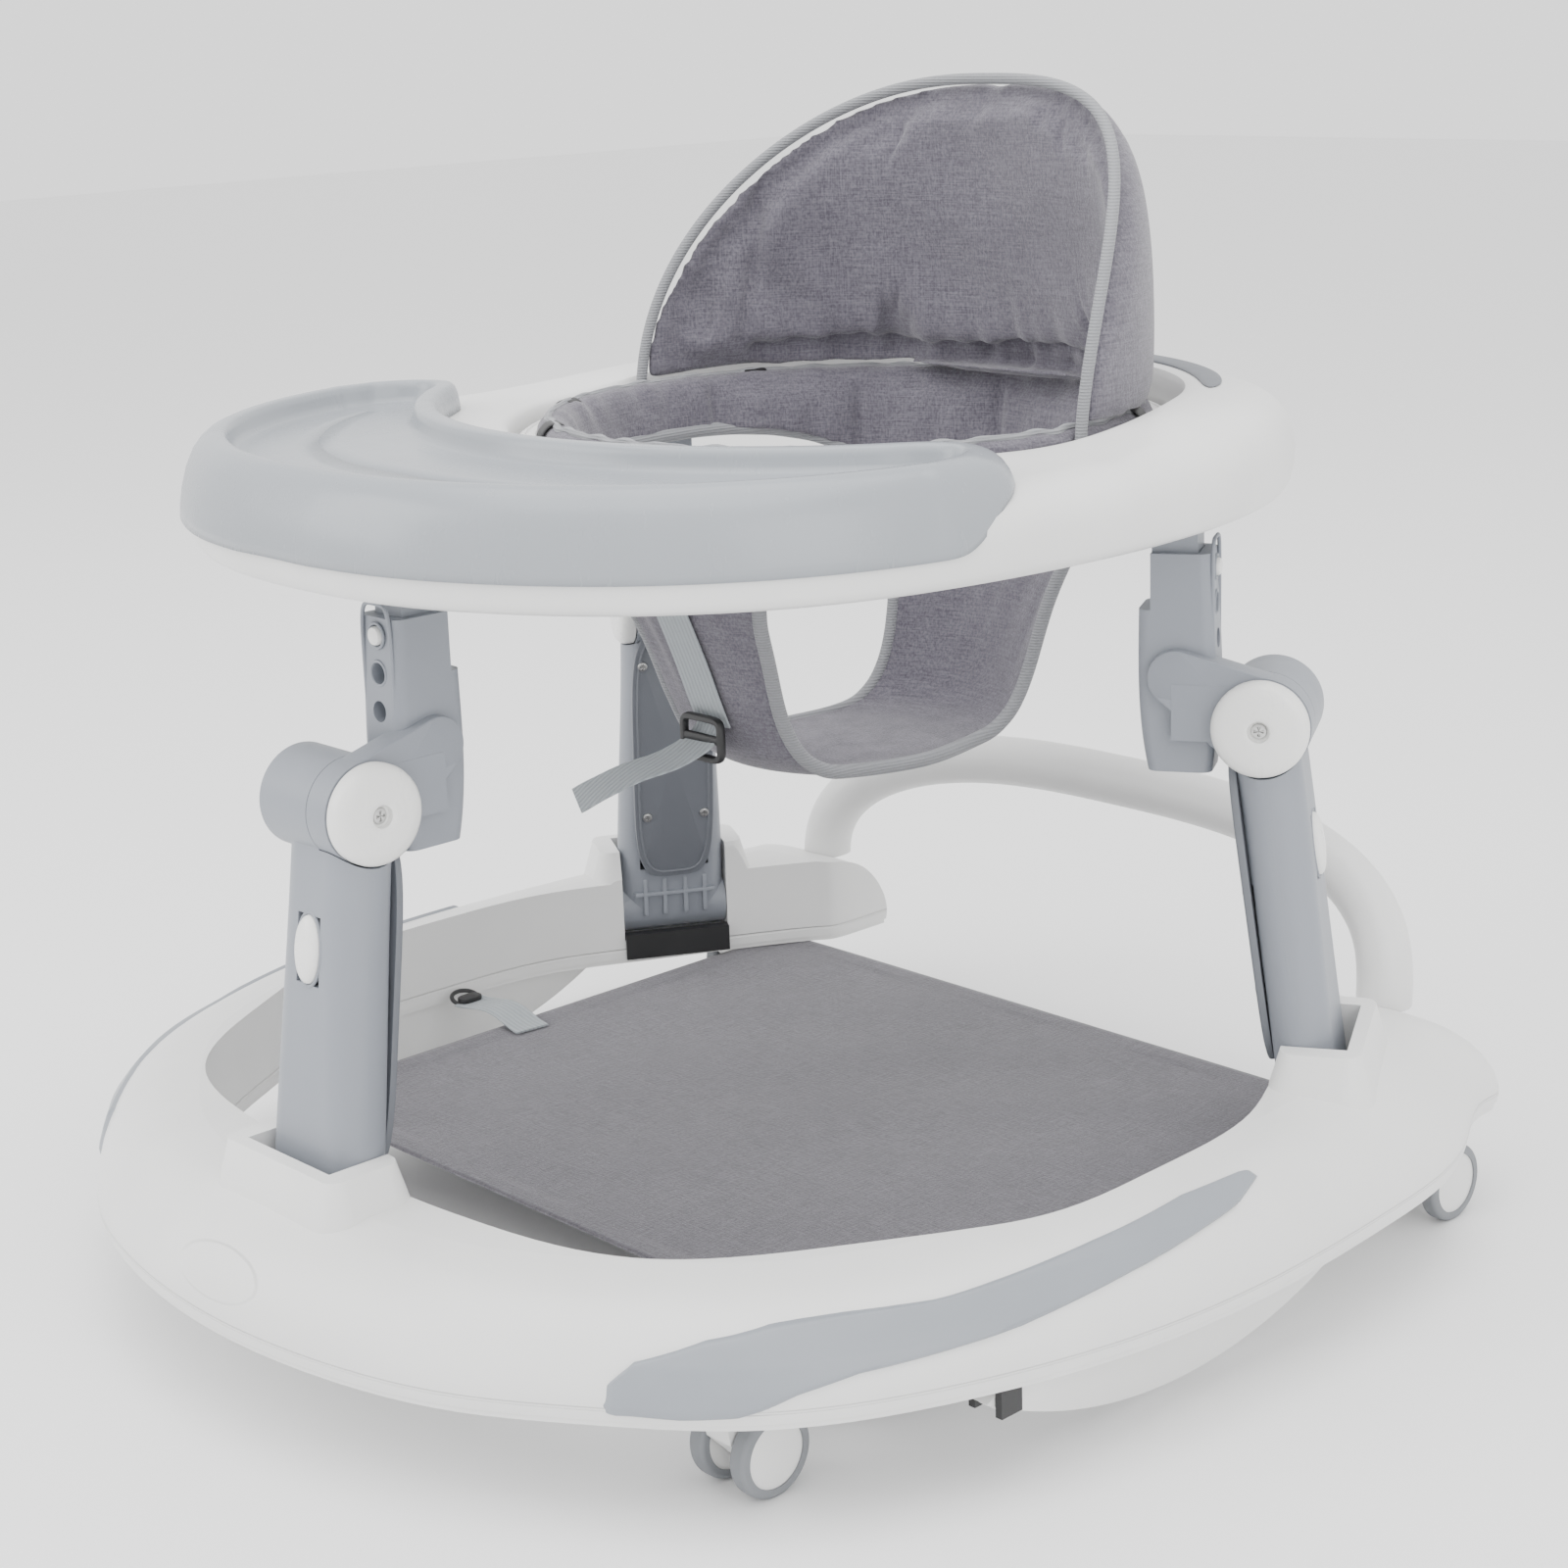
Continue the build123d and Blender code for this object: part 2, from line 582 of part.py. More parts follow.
with BuildPart() as rear_grip:
    with BuildSketch(Plane.XY.offset(deck_z + 10)):
        with Locations((0, seat_y)):
            Circle(well_radius + 24)
            Circle(well_radius + 9, mode=Mode.SUBTRACT)
        with Locations((0, seat_y - 40)):
            Rectangle(600, 400, mode=Mode.SUBTRACT)
    extrude(amount=1.6)
save(rear_grip, "rear_grip")

# ---------------------------------------------------------------- tray
tray_thickness = 3.0
tray_rear = -4.0
dish_wall = 9.0
with BuildPart() as tray:
    add(ring_body(-tray_thickness, ring_low))
    add(ring_body(-rest_gap, ring_low), mode=Mode.SUBTRACT)
    with BuildSketch(Plane.XY.offset(deck_z + rest_gap)):
        add(ring_outline(14, 0))
        add(ring_outline(14 + dish_wall, 0), mode=Mode.SUBTRACT)
    extrude(amount=tray_thickness + 8)
    with BuildSketch(Plane.XY.offset(deck_z + rest_gap)):
        with Locations((0, seat_y)):
            Circle(well_radius + 12 + dish_wall)
            Circle(well_radius + 12, mode=Mode.SUBTRACT)
        add(ring_outline(16, 0), mode=Mode.INTERSECT)
    extrude(amount=tray_thickness + 8)
    with Locations((0, 300 + tray_rear, deck_z)):
        Box(900, 600, 120, mode=Mode.SUBTRACT)
    with Locations((0, 0, ring_low)):
        Box(900, 900, 30, mode=Mode.SUBTRACT)
    with Locations((0, seat_y, deck_z)):
        Cylinder(well_radius + 12, 60, mode=Mode.SUBTRACT)
save(tray, "tray")

with BuildPart() as tray_latch:
    with Locations((0, seat_y - well_radius - 12 - dish_wall / 2, deck_z + rest_gap + tray_thickness + 8)):
        Box(16, 7, 2.5, align=(Align.CENTER, Align.CENTER, Align.MIN))
save(tray_latch, "tray_latch")

# ---------------------------------------------------------------- swivel seat
with BuildPart() as seat_ring:
    with Locations((0, seat_y, ledge_z + 3 + rest_gap)):
        Cylinder(seat_ring_outer, seat_ring_top - ledge_z - 3 - rest_gap,
                 align=(Align.CENTER, Align.CENTER, Align.MIN))
        Cylinder(seat_ring_inner, 60, align=(Align.CENTER, Align.CENTER, Align.MIN), mode=Mode.SUBTRACT)
    chamfer(seat_ring.edges().filter_by(GeomType.CIRCLE).group_by(Axis.Z)[-1], 3)
save(seat_ring, "seat_ring")

rim_top = seat_ring_top + rest_gap
seat_front = Plane(origin=(0, seat_y, 0), x_dir=(1, 0, 0), z_dir=(0, -1, 0))
pan_low_z = rim_top - pan_depth
pan_floor_radius = 74.0
pan_knee_radius = 104.0
pan_side_radius = 148.0
pan_turn_up = 30.0
pan_shoulder = 60.0
hem_in = seat_ring_inner - 4
hem_out = seat_ring_inner + 8
leg_hole_turn = 46.0
with BuildPart() as seat_pan:
    with BuildSketch(seat_front):
        with BuildLine():
            Polyline((0, pan_low_z), (pan_floor_radius, pan_low_z),
                     (pan_knee_radius, pan_low_z + pan_turn_up),
                     (pan_side_radius, rim_top - pan_shoulder), (hem_in, rim_top), (hem_out, rim_top),
                     (hem_out, rim_top + fabric), (hem_in - fabric, rim_top + fabric),
                     (pan_side_radius - fabric, rim_top - pan_shoulder),
                     (pan_knee_radius - fabric, pan_low_z + pan_turn_up + 3),
                     (pan_floor_radius - fabric, pan_low_z + fabric), (0, pan_low_z + fabric), (0, pan_low_z))
        make_face()
    revolve(axis=Axis((0, seat_y, 0), (0, 0, 1)))
    for turn in (-leg_hole_turn, leg_hole_turn):
        outward = (sin(radians(turn)), -cos(radians(turn)), 0)
        with BuildSketch(Plane(origin=(0, seat_y, rim_top - 108), x_dir=(-outward[1], outward[0], 0),
                               z_dir=outward)):
            RectangleRounded(118, 124, 50)
        extrude(amount=200, mode=Mode.SUBTRACT)
save(seat_pan, "seat_pan")


def hoop_point(turn):
    """Point of the hoop: an arch over the seat that curves back as it rises; turn runs 0 to 180."""
    across_part = cos(radians(turn))
    up_part = sin(radians(turn))
    width = hoop_half_width * (1 if across_part > 0 else -1) * abs(across_part) ** 0.76
    rise = up_part ** 0.76
    return (width, seat_y + hoop_back * (0.10 * rise + 0.90 * rise ** 2), seat_ring_top + hoop_height * rise)


with BuildPart() as seat_hoop:
    with BuildLine() as arch:
        Spline(*[hoop_point(turn) for turn in (0, 5, 14, 28, 46, 68, 90, 112, 134, 152, 166, 175, 180)])
    with BuildSketch(Plane(origin=arch.line @ 0, z_dir=arch.line % 0)):
        Circle(hoop_radius)
    sweep()
save(seat_hoop, "seat_hoop")

back_steps = (0.06, 0.40, 0.70, 0.88)
with BuildPart() as seat_back:
    for rise in back_steps:
        half = hoop_half_width * (1 - rise ** (1 / 0.38)) ** 0.38 - hoop_radius - 8
        edge_y = seat_y + hoop_back * (0.10 * rise + 0.90 * rise ** 2) + 7
        middle_y = seat_y + seat_ring_inner - 5 - 24 * rise
        back_low = rim_top + fabric + 2 + 2 * rest_gap
        with BuildSketch(Plane.XY.offset(back_low + hoop_height * (rise - back_steps[0]))):
            with BuildLine():
                outer = ThreePointArc((half, edge_y), (0, middle_y), (-half, edge_y))
                inner = ThreePointArc((half - 7, edge_y), (0, middle_y - 10), (7 - half, edge_y))
                Line(outer @ 0, inner @ 0)
                Line(outer @ 1, inner @ 1)
            make_face()
    loft()
save(seat_back, "seat_back")

# crotch webbing, its slide buckle and the clips that hold the fabric on the ring
webbing_width = 25.0
webbing_thickness = 1.4
webbing_top = rim_top - pan_shoulder
webbing_end = pan_low_z + 46
pan_flare = (pan_side_radius - pan_knee_radius) / (webbing_top - pan_low_z - pan_turn_up)
buckle_z = webbing_end - 15.4
with BuildPart() as crotch_webbing:
    with BuildSketch(Plane.YZ.offset(-webbing_width / 2)):
        with BuildLine():
            face_top = seat_y - pan_side_radius - 2 * rest_gap
            face_low = face_top + pan_flare * (webbing_top - webbing_end)
            Polyline((face_top, webbing_top), (face_low, webbing_end),
                     (face_low - webbing_thickness, webbing_end),
                     (face_top - webbing_thickness, webbing_top), (face_top, webbing_top))
        make_face()
    extrude(amount=webbing_width)
save(crotch_webbing, "crotch_webbing")

with BuildPart() as slide_buckle:
    with Locations((0, seat_y - pan_knee_radius - 10.5, buckle_z)):
        Box(34, 6, 30)
        with Locations((0, 0, 6)):
            Box(26, 10, 5, mode=Mode.SUBTRACT)
        with Locations((0, 0, -6)):
            Box(26, 10, 5, mode=Mode.SUBTRACT)
save(slide_buckle, "slide_buckle")

clip_turns = (-150, -118, -62, -30, 25, 155)
with BuildPart() as rim_clips:
    for turn in clip_turns:
        spot = Plane(origin=(0, seat_y, rim_top + fabric + rest_gap),
                     x_dir=(cos(radians(turn)), sin(radians(turn)), 0), z_dir=(0, 0, 1))
        with Locations(spot):
            with Locations((seat_ring_inner + 3, 0, 1)):
                Box(16, 14, 2)
            with Locations((seat_ring_inner + 10.4, 0, -(fabric + rest_gap) / 2 + 1)):
                Box(4, 14, fabric + rest_gap + 2)
save(rim_clips, "rim_clips")
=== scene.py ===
"""Baby walker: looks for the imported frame. Metres, +Z up, the child faces -Y."""
import json
import bmesh
import bpy
import numpy as np
from mathutils.bvhtree import BVHTree
from mathutils import Matrix, Vector


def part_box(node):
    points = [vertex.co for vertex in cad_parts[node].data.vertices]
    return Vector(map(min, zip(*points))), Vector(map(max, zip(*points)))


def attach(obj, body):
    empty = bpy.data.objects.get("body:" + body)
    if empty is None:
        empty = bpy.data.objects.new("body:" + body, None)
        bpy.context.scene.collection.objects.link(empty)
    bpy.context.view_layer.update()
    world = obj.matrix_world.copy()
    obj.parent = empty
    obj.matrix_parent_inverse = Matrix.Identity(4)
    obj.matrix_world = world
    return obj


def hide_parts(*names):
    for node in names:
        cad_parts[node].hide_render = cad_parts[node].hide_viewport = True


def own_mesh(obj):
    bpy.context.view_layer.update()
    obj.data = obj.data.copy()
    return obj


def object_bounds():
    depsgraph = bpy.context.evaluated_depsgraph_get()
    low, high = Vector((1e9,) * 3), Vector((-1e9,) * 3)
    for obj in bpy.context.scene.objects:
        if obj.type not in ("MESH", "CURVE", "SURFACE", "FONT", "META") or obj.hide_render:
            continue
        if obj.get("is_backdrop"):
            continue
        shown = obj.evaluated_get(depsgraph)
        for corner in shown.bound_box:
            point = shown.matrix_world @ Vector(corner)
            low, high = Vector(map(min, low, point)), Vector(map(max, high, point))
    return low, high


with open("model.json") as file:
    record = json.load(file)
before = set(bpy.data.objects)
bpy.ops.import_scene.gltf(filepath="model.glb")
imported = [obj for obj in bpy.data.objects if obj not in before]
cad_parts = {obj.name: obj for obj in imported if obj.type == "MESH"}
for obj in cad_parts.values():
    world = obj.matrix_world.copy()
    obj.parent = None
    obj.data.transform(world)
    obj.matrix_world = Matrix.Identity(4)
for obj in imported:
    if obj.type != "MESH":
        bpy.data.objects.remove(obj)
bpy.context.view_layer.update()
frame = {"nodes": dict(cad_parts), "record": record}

nodes = frame["nodes"]
mm = 0.001
legs = {"front": -90.0, "left": 30.0, "right": 150.0}
leg_circle = np.array([0.0, 29.0])
cap_side = {"front": 1, "left": -1, "right": 1}
# out from the legs' circle and up, in mm: foot pin, knee bolt and ring pivot
foot_out, foot_z = 308.0, 88.0
knee_out, knee_z = 279.0, 300.0
pivot_out = 232.0

# ------------------------------------------------------------------ camera, floor and light
azimuth, elevation, roll = np.radians((47.263, 15.499, -2.064))
away = np.array((np.sin(azimuth) * np.cos(elevation), -np.cos(azimuth) * np.cos(elevation),
                 np.sin(elevation)))
level = np.array((np.cos(azimuth), np.sin(azimuth), 0.0))
upright = np.cross(away, level)
right = np.cos(roll) * level + np.sin(roll) * upright
up = -np.sin(roll) * level + np.cos(roll) * upright
camera = bpy.data.objects.new("camera", bpy.data.cameras.new("camera"))
camera.data.sensor_width = 36
camera.data.lens = 65.9
camera_frame = np.column_stack((right, up, away, (1.1420, -1.0106, 0.6782)))
camera.matrix_world = Matrix(np.vstack((camera_frame, (0, 0, 0, 1))))
bpy.context.scene.collection.objects.link(camera)
bpy.context.scene.camera = camera


def soft_light(name, place, aim, width, watts):
    """Square area light at place, turned to aim."""
    lamp = bpy.data.lights.new(name, "AREA")
    lamp.size = width
    lamp.energy = watts
    holder = bpy.data.objects.new(name, lamp)
    holder.location = place
    holder.rotation_euler = (Vector(aim) - Vector(place)).to_track_quat("-Z", "Y").to_euler()
    bpy.context.scene.collection.objects.link(holder)


soft_light("overhead", (0.2, -0.3, 2.6), (0, 0, 0.2), 2.6, 62)
soft_light("front_left", (-1.6, -2.2, 1.7), (0, 0, 0.3), 1.8, 40)
soft_light("front_right", (2.6, -0.6, 1.4), (0, 0, 0.3), 1.6, 22)
world = bpy.data.worlds.new("studio")
world.use_nodes = True
world.node_tree.nodes["Background"].inputs["Color"].default_value = (1, 1, 1, 1)
world.node_tree.nodes["Background"].inputs["Strength"].default_value = 1.6
bpy.context.scene.world = world


# ------------------------------------------------------------------ shader maths
class Wire:
    """A shader socket that takes part in Python expressions."""

    def __init__(self, finish, socket):
        self.finish, self.socket = finish, socket

    def maths(self, operation, *values):
        return self.finish.node("ShaderNodeMath", {"operation": operation}, dict(enumerate(values)))

    def __add__(self, other): return self.maths("ADD", self, other)
    def __radd__(self, other): return self.maths("ADD", other, self)
    def __sub__(self, other): return self.maths("SUBTRACT", self, other)
    def __rsub__(self, other): return self.maths("SUBTRACT", other, self)
    def __mul__(self, other): return self.maths("MULTIPLY", self, other)
    def __rmul__(self, other): return self.maths("MULTIPLY", other, self)
    def __truediv__(self, other): return self.maths("DIVIDE", self, other)
    def __pow__(self, other): return self.maths("POWER", self, other)
    def __abs__(self): return self.maths("ABSOLUTE", self)
    def least(self, other): return self.maths("MINIMUM", self, other)
    def most(self, other): return self.maths("MAXIMUM", self, other)
    def sine(self): return self.maths("SINE", self)

    def between(self, low, high):
        """0 below low, 1 above high, smooth between."""
        return self.finish.node("ShaderNodeMapRange", {"interpolation_type": "SMOOTHSTEP"},
                                {0: self, 1: low, 2: high, 3: 0.0, 4: 1.0})


class Finish:
    """A material in the making, round one Principled shader."""

    def __init__(self, name, colour, **fixed):
        self.material = bpy.data.materials.new(name)
        self.material.use_nodes = True
        self.tree = self.material.node_tree
        self.shader = self.tree.nodes["Principled BSDF"]
        self.shader.inputs["Base Color"].default_value = (*colour, 1)
        self.material.diffuse_color = (*colour, 1)
        for socket, value in fixed.items():
            self.shader.inputs[socket.replace("_", " ")].default_value = value

    def node(self, kind, settings=None, values=None, output=0):
        """Add a node: its settings first, then the values or links of its sockets."""
        made = self.tree.nodes.new(kind)
        for key, value in (settings or {}).items():
            setattr(made, key, value)
        for key, value in (values or {}).items():
            if isinstance(value, Wire):
                self.tree.links.new(value.socket, made.inputs[key])
            else:
                made.inputs[key].default_value = value
        return Wire(self, made.outputs[output])

    def place(self):
        return self.node("ShaderNodeTexCoord", output=3)

    def across(self, scale):
        """Object coordinates stretched by scale, one number for each axis."""
        return self.node("ShaderNodeMapping", None, {"Vector": self.place(), "Scale": scale})

    def grain(self, where, size, detail=2.0, rough=0.5):
        return self.node("ShaderNodeTexNoise", None, {"Vector": where, "Scale": size, "Detail": detail,
                                                      "Roughness": rough})

    def mix(self, share, first, second):
        first, second = [(*c, 1) if isinstance(c, tuple) and len(c) == 3 else c for c in (first, second)]
        return self.node("ShaderNodeMix", {"data_type": "RGBA"}, {0: share, 6: first, 7: second}, 2)

    def wear(self, **driven):
        """Link what changes over the surface to the shader."""
        for socket, value in driven.items():
            self.tree.links.new(value.socket, self.shader.inputs[socket.replace("_", " ")])
        return self.material

    def raised(self, height, depth, strength=1.0):
        return self.node("ShaderNodeBump", None, {"Strength": strength, "Distance": depth, "Height": height})


def moulded(name, colour, rough, grain_depth=0.00004, mottle=0.03, coat=0.0):
    """Moulded plastic: fine spark-eroded grain, faint flow mottling and slightly scuffed gloss."""
    finish = Finish(name, colour, Coat_Weight=coat, Coat_Roughness=0.2, IOR=1.48)
    cloud = finish.grain(finish.place(), 9.0, 3.0)
    scuff = finish.grain(finish.across((1, 1, 0.35)), 55.0, 4.0, 0.65)
    fine = finish.grain(finish.place(), 1500.0, 1.0)
    darker = tuple(c * (1 - 2.4 * mottle) for c in colour)
    tint = finish.mix(cloud.between(0.35, 0.7), colour, darker)
    polish = rough + (scuff - 0.5) * 0.16 + (cloud - 0.5) * 0.06
    return finish.wear(Base_Color=tint, Roughness=polish, Normal=finish.raised(fine, grain_depth))


def heathered(name, light, dark, warp, weft, rough=0.92):
    """Linen-look cloth: two sets of threads with slubs, light and dark fibres mixed, and a plain weave."""
    finish = Finish(name, light, Sheen_Weight=0.35, Sheen_Roughness=0.5, Specular_IOR_Level=0.2)
    slub_one = finish.grain(finish.across(warp), 1.0, 3.0, 0.7)
    slub_two = finish.grain(finish.across(weft), 1.0, 3.0, 0.7)
    fleck = finish.grain(finish.place(), 620.0, 2.0)
    cloud = finish.grain(finish.place(), 22.0, 3.0)
    threads = slub_one.most(slub_two) * 0.55 + slub_one.least(slub_two) * 0.45
    mixed = (threads * 0.7 + fleck * 0.3).between(0.36, 0.66)
    tint = finish.mix(mixed, dark, light)
    tint = finish.mix(cloud.between(0.3, 0.75) * 0.18, tint, dark)
    return finish.wear(Base_Color=tint, Roughness=rough + (fleck - 0.5) * 0.1,
                       Normal=finish.raised(threads + fleck * 0.6, 0.0006, 0.9))


def ribbed(name, colour, pitch, ribs_on="X", rough=0.8):
    """Woven tape: ribs along its length, fine cross threads, soft light; painted shade darkens the colour in
    the grooves between the ribs.
    """
    finish = Finish(name, colour, Sheen_Weight=0.2, Specular_IOR_Level=0.25)
    split = finish.node("ShaderNodeSeparateXYZ", None, {0: finish.place()}, "XYZ".index(ribs_on))
    rib = (split * (2 * np.pi / pitch)).sine() * 0.5 + 0.5
    fleck = finish.grain(finish.place(), 900.0, 2.0)
    # painted shade and highlight: the colour follows the ribs' height, darker in the grooves and lighter on
    # the crests; the flecks are the threads' own tone
    tint_with_painted_groove_shade = finish.mix(rib * 0.45 + fleck * 0.4, tuple(c * 0.72 for c in colour),
                       tuple(min(c * 1.15, 1) for c in colour))
    return finish.wear(Base_Color=tint_with_painted_groove_shade, Roughness=rough + (fleck - 0.5) * 0.15,
                       Normal=finish.raised(rib + fleck * 0.7, 0.0004, 0.9))


white = moulded("white_plastic", (0.78, 0.78, 0.77), 0.36)
bright = moulded("white_buttons", (0.84, 0.84, 0.82), 0.28, 0.00002)
tray_blue = moulded("tray_blue_grey", (0.30, 0.32, 0.345), 0.26, 0.00002, 0.02)
leg_blue = moulded("leg_blue_grey", (0.245, 0.262, 0.295), 0.42, 0.00006)
cover_grey = moulded("cover_grey", (0.145, 0.155, 0.175), 0.48, 0.00008)
panel_grey = moulded("inlay_grey", (0.275, 0.295, 0.325), 0.34)
black = moulded("black_plastic", (0.018, 0.018, 0.019), 0.46, 0.00006)
tyre = moulded("tyre_rubber", (0.20, 0.21, 0.225), 0.62, 0.0001)
steel = moulded("zinc_steel", (0.55, 0.55, 0.54), 0.34, 0.00003)
steel.node_tree.nodes["Principled BSDF"].inputs["Metallic"].default_value = 1.0
seat_cloth = heathered("seat_linen", (0.185, 0.175, 0.205), (0.075, 0.068, 0.088), (1300, 1300, 50),
                       (60, 60, 1400))
mat_cloth = heathered("mat_linen", (0.155, 0.148, 0.17), (0.062, 0.058, 0.07), (1400, 50, 300),
                      (50, 1400, 300))
tape = ribbed("grey_webbing", (0.34, 0.37, 0.39), 0.0031)
tie_tape = ribbed("tie_webbing", (0.34, 0.37, 0.39), 0.0031, "Y")
piping = ribbed("grey_piping", (0.27, 0.275, 0.29), 0.0016, "Z")

slot_finish = {"white_shell": white, "tray_grey": tray_blue, "leg_grey": leg_blue, "cover_grey": cover_grey,
               "panel_grey": panel_grey, "black_plastic": black, "tyre_grey": tyre, "steel": steel,
               "fabric_heather": seat_cloth, "mat_fabric": mat_cloth, "webbing": tape, "piping": piping}

for row in frame["record"]["subparts"]:
    part = nodes[row["node"]]
    part.data.materials.clear()
    part.data.materials.append(slot_finish[row["material_slot"]])

floor_finish = Finish("pale_floor", (0.90, 0.90, 0.90))
floor_cloud = floor_finish.grain(floor_finish.place(), 1.5)
floor_finish.wear(Roughness=0.55 + floor_cloud * 0.2)


# ------------------------------------------------------------------ surfaces
def settle(name, mesh, finish, body, smooth=35.0):
    """Link a finished mesh as a piece of one body, faces outwards, smooth but for edges over an angle."""
    mesh.materials.append(finish)
    mesh.shade_smooth()
    mesh.set_sharp_from_angle(angle=np.radians(smooth))
    piece = bpy.data.objects.new(name, mesh)
    bpy.context.scene.collection.objects.link(piece)
    if body:
        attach(piece, body)
    return piece


def sheet_mesh(name, grid, wrap_u=False, wrap_v=False, caps=False):
    """Mesh of a (rows, columns, 3) array of points in mm; row u joins row u + 1 and column v joins v + 1."""
    rows, columns, _ = grid.shape
    index = np.arange(rows * columns).reshape(rows, columns)
    if wrap_u:
        index = np.vstack((index, index[:1]))
    if wrap_v:
        index = np.hstack((index, index[:, :1]))
    faces = np.stack((index[:-1, :-1], index[1:, :-1], index[1:, 1:], index[:-1, 1:]),
                     -1).reshape(-1, 4).tolist()
    points = grid.reshape(-1, 3)
    if caps:
        for row, at in ((0, 0), (rows - 1, -1)):
            points = np.vstack((points, grid[at].mean(0)))
            ring = index[row]
            faces += np.column_stack((ring[:-1], ring[1:], np.full(len(ring) - 1, len(points) - 1))).tolist()
    mesh = bpy.data.meshes.new(name)
    mesh.from_pydata((points * mm).tolist(), [], faces)
    return outwards(mesh)


def outwards(mesh, merge=1e-7):
    """Merge doubles and turn every face outwards."""
    shape = bmesh.new()
    shape.from_mesh(mesh)
    bmesh.ops.remove_doubles(shape, verts=shape.verts, dist=merge)
    bmesh.ops.recalc_face_normals(shape, faces=shape.faces)
    shape.to_mesh(mesh)
    shape.free()
    return mesh


def joined(name, meshes):
    """One mesh of several."""
    shape = bmesh.new()
    for mesh in meshes:
        shape.from_mesh(mesh)
    mesh = bpy.data.meshes.new(name)
    shape.to_mesh(mesh)
    shape.free()
    return mesh


def smooth_line(points, count, closed=False):
    """Catmull-Rom curve through points, evenly resampled: a cubic for each span."""
    points = np.asarray(points, float)
    before = points[-1:] if closed else 2 * points[:1] - points[1:2]
    after = points[:2] if closed else 2 * points[-1:] - points[-2:-1]
    p = np.vstack((before, points, after))
    spans = len(p) - 3
    t = np.linspace(0, spans, spans * 24 + 1)
    k = np.minimum(t.astype(int), spans - 1)
    f = (t - k)[:, None]
    a, b, c, d = p[k], p[k + 1], p[k + 2], p[k + 3]
    squared, cubed = 2 * a - 5 * b + 4 * c - d, 3 * b - a - 3 * c + d
    dense = 0.5 * (2 * b + (c - a) * f + squared * f ** 2 + cubed * f ** 3)
    reach = np.concatenate(([0], np.cumsum(np.linalg.norm(np.diff(dense, axis=0), axis=1))))
    at = np.linspace(0, reach[-1], count, endpoint=not closed)
    return np.column_stack([np.interp(at, reach, dense[:, i]) for i in range(dense.shape[1])])


def carried(path, profile, reference=(0, 0, 1), closed=False, grow=None):
    """A closed profile (n, 2) carried along a path: x along reference x tangent, y along the frame's rest."""
    path = np.asarray(path, float)
    if closed:
        tangent = np.roll(path, -1, 0) - np.roll(path, 1, 0)
    else:
        tangent = np.gradient(path, axis=0)
    tangent /= np.linalg.norm(tangent, axis=1)[:, None]
    side = np.cross(np.broadcast_to(np.asarray(reference, float), tangent.shape), tangent)
    side /= np.linalg.norm(side, axis=1)[:, None]
    rise = np.cross(tangent, side)
    scale = np.ones(len(path)) if grow is None else np.asarray(grow)
    profile = np.asarray(profile, float)
    return (path[:, None] + scale[:, None, None]
            * (profile[None, :, :1] * side[:, None] + profile[None, :, 1:] * rise[:, None]))


def rod(name, path, profile, reference=(0, 0, 1), closed=False, grow=None):
    """Solid of a profile carried along a path: a loop where closed, else with its two ends capped."""
    grid = carried(path, profile, reference, closed, grow)
    return sheet_mesh(name, grid, wrap_u=closed, wrap_v=True, caps=not closed)


def full_turn(count):
    """Evenly spaced angles of a whole turn, in radians."""
    return np.linspace(0, 2 * np.pi, count, endpoint=False)


def round_profile(radius, sides=14, squash=1.0):
    """Circle or flattened circle."""
    turn = np.linspace(0, 2 * np.pi, sides, endpoint=False)
    return np.column_stack((radius * np.cos(turn), radius * squash * np.sin(turn)))


def blunt_profile(half_x, half_y, power=4.0, sides=28):
    """Superellipse: |x/a|^n + |y/b|^n = 1."""
    turn = np.linspace(0, 2 * np.pi, sides, endpoint=False)
    c, s = np.cos(turn), np.sin(turn)
    return np.column_stack((half_x * np.sign(c) * np.abs(c) ** (2 / power),
                            half_y * np.sign(s) * np.abs(s) ** (2 / power)))


def turned(name, profile, centre, x_axis, z_axis, sides=48, oval=1.0):
    """Surface of revolution: profile (radius, height) turned about z_axis through centre, x times oval."""
    profile = np.asarray(profile, float)
    x_axis, z_axis = np.asarray(x_axis, float), np.asarray(z_axis, float)
    y_axis = np.cross(z_axis, x_axis)
    turn = np.linspace(0, 2 * np.pi, sides, endpoint=False)
    grid = (np.asarray(centre, float) + profile[:, 1][:, None, None] * z_axis
            + profile[:, 0][:, None, None]
            * (oval * np.cos(turn)[None, :, None] * x_axis + np.sin(turn)[None, :, None] * y_axis))
    return sheet_mesh(name, grid, wrap_v=True, caps=True)


def leg_axes(name):
    """Outward, hinge and upward directions of a leg."""
    turn = np.radians(legs[name])
    outward, hinge = (np.cos(turn), np.sin(turn), 0), (-np.sin(turn), np.cos(turn), 0)
    return np.array(outward), np.array(hinge), np.array((0, 0, 1.0))


def leg_spot(name, out, along, height):
    outward, hinge, _ = leg_axes(name)
    return np.array((*leg_circle, 0)) + out * outward + along * hinge + np.array((0, 0, height))


# ------------------------------------------------------------------ floor
floor_half = 9000.0
floor_grid = np.array([[(x, y, 0) for y in (-floor_half, floor_half)] for x in (-floor_half, floor_half)])
floor_mesh = sheet_mesh("floor", floor_grid)
floor = settle("floor", floor_mesh, floor_finish.material, None)
floor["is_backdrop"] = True


# ------------------------------------------------------------------ top ring
seat_centre = np.array([0.0, 100.0])
ring_half_width, ring_half_depth, ring_middle_y = 265, 298.5, 26.5
ring_shape = [(0, -1), (0.36, -0.955), (0.70, -0.775), (0.92, -0.47), (1, 0), (0.93, 0.45), (0.715, 0.77),
              (0.38, 0.95), (0, 1)]
ring_shape += [(-x, y) for x, y in ring_shape[-2:0:-1]]
ring_unit = smooth_line(ring_shape, 720, closed=True)


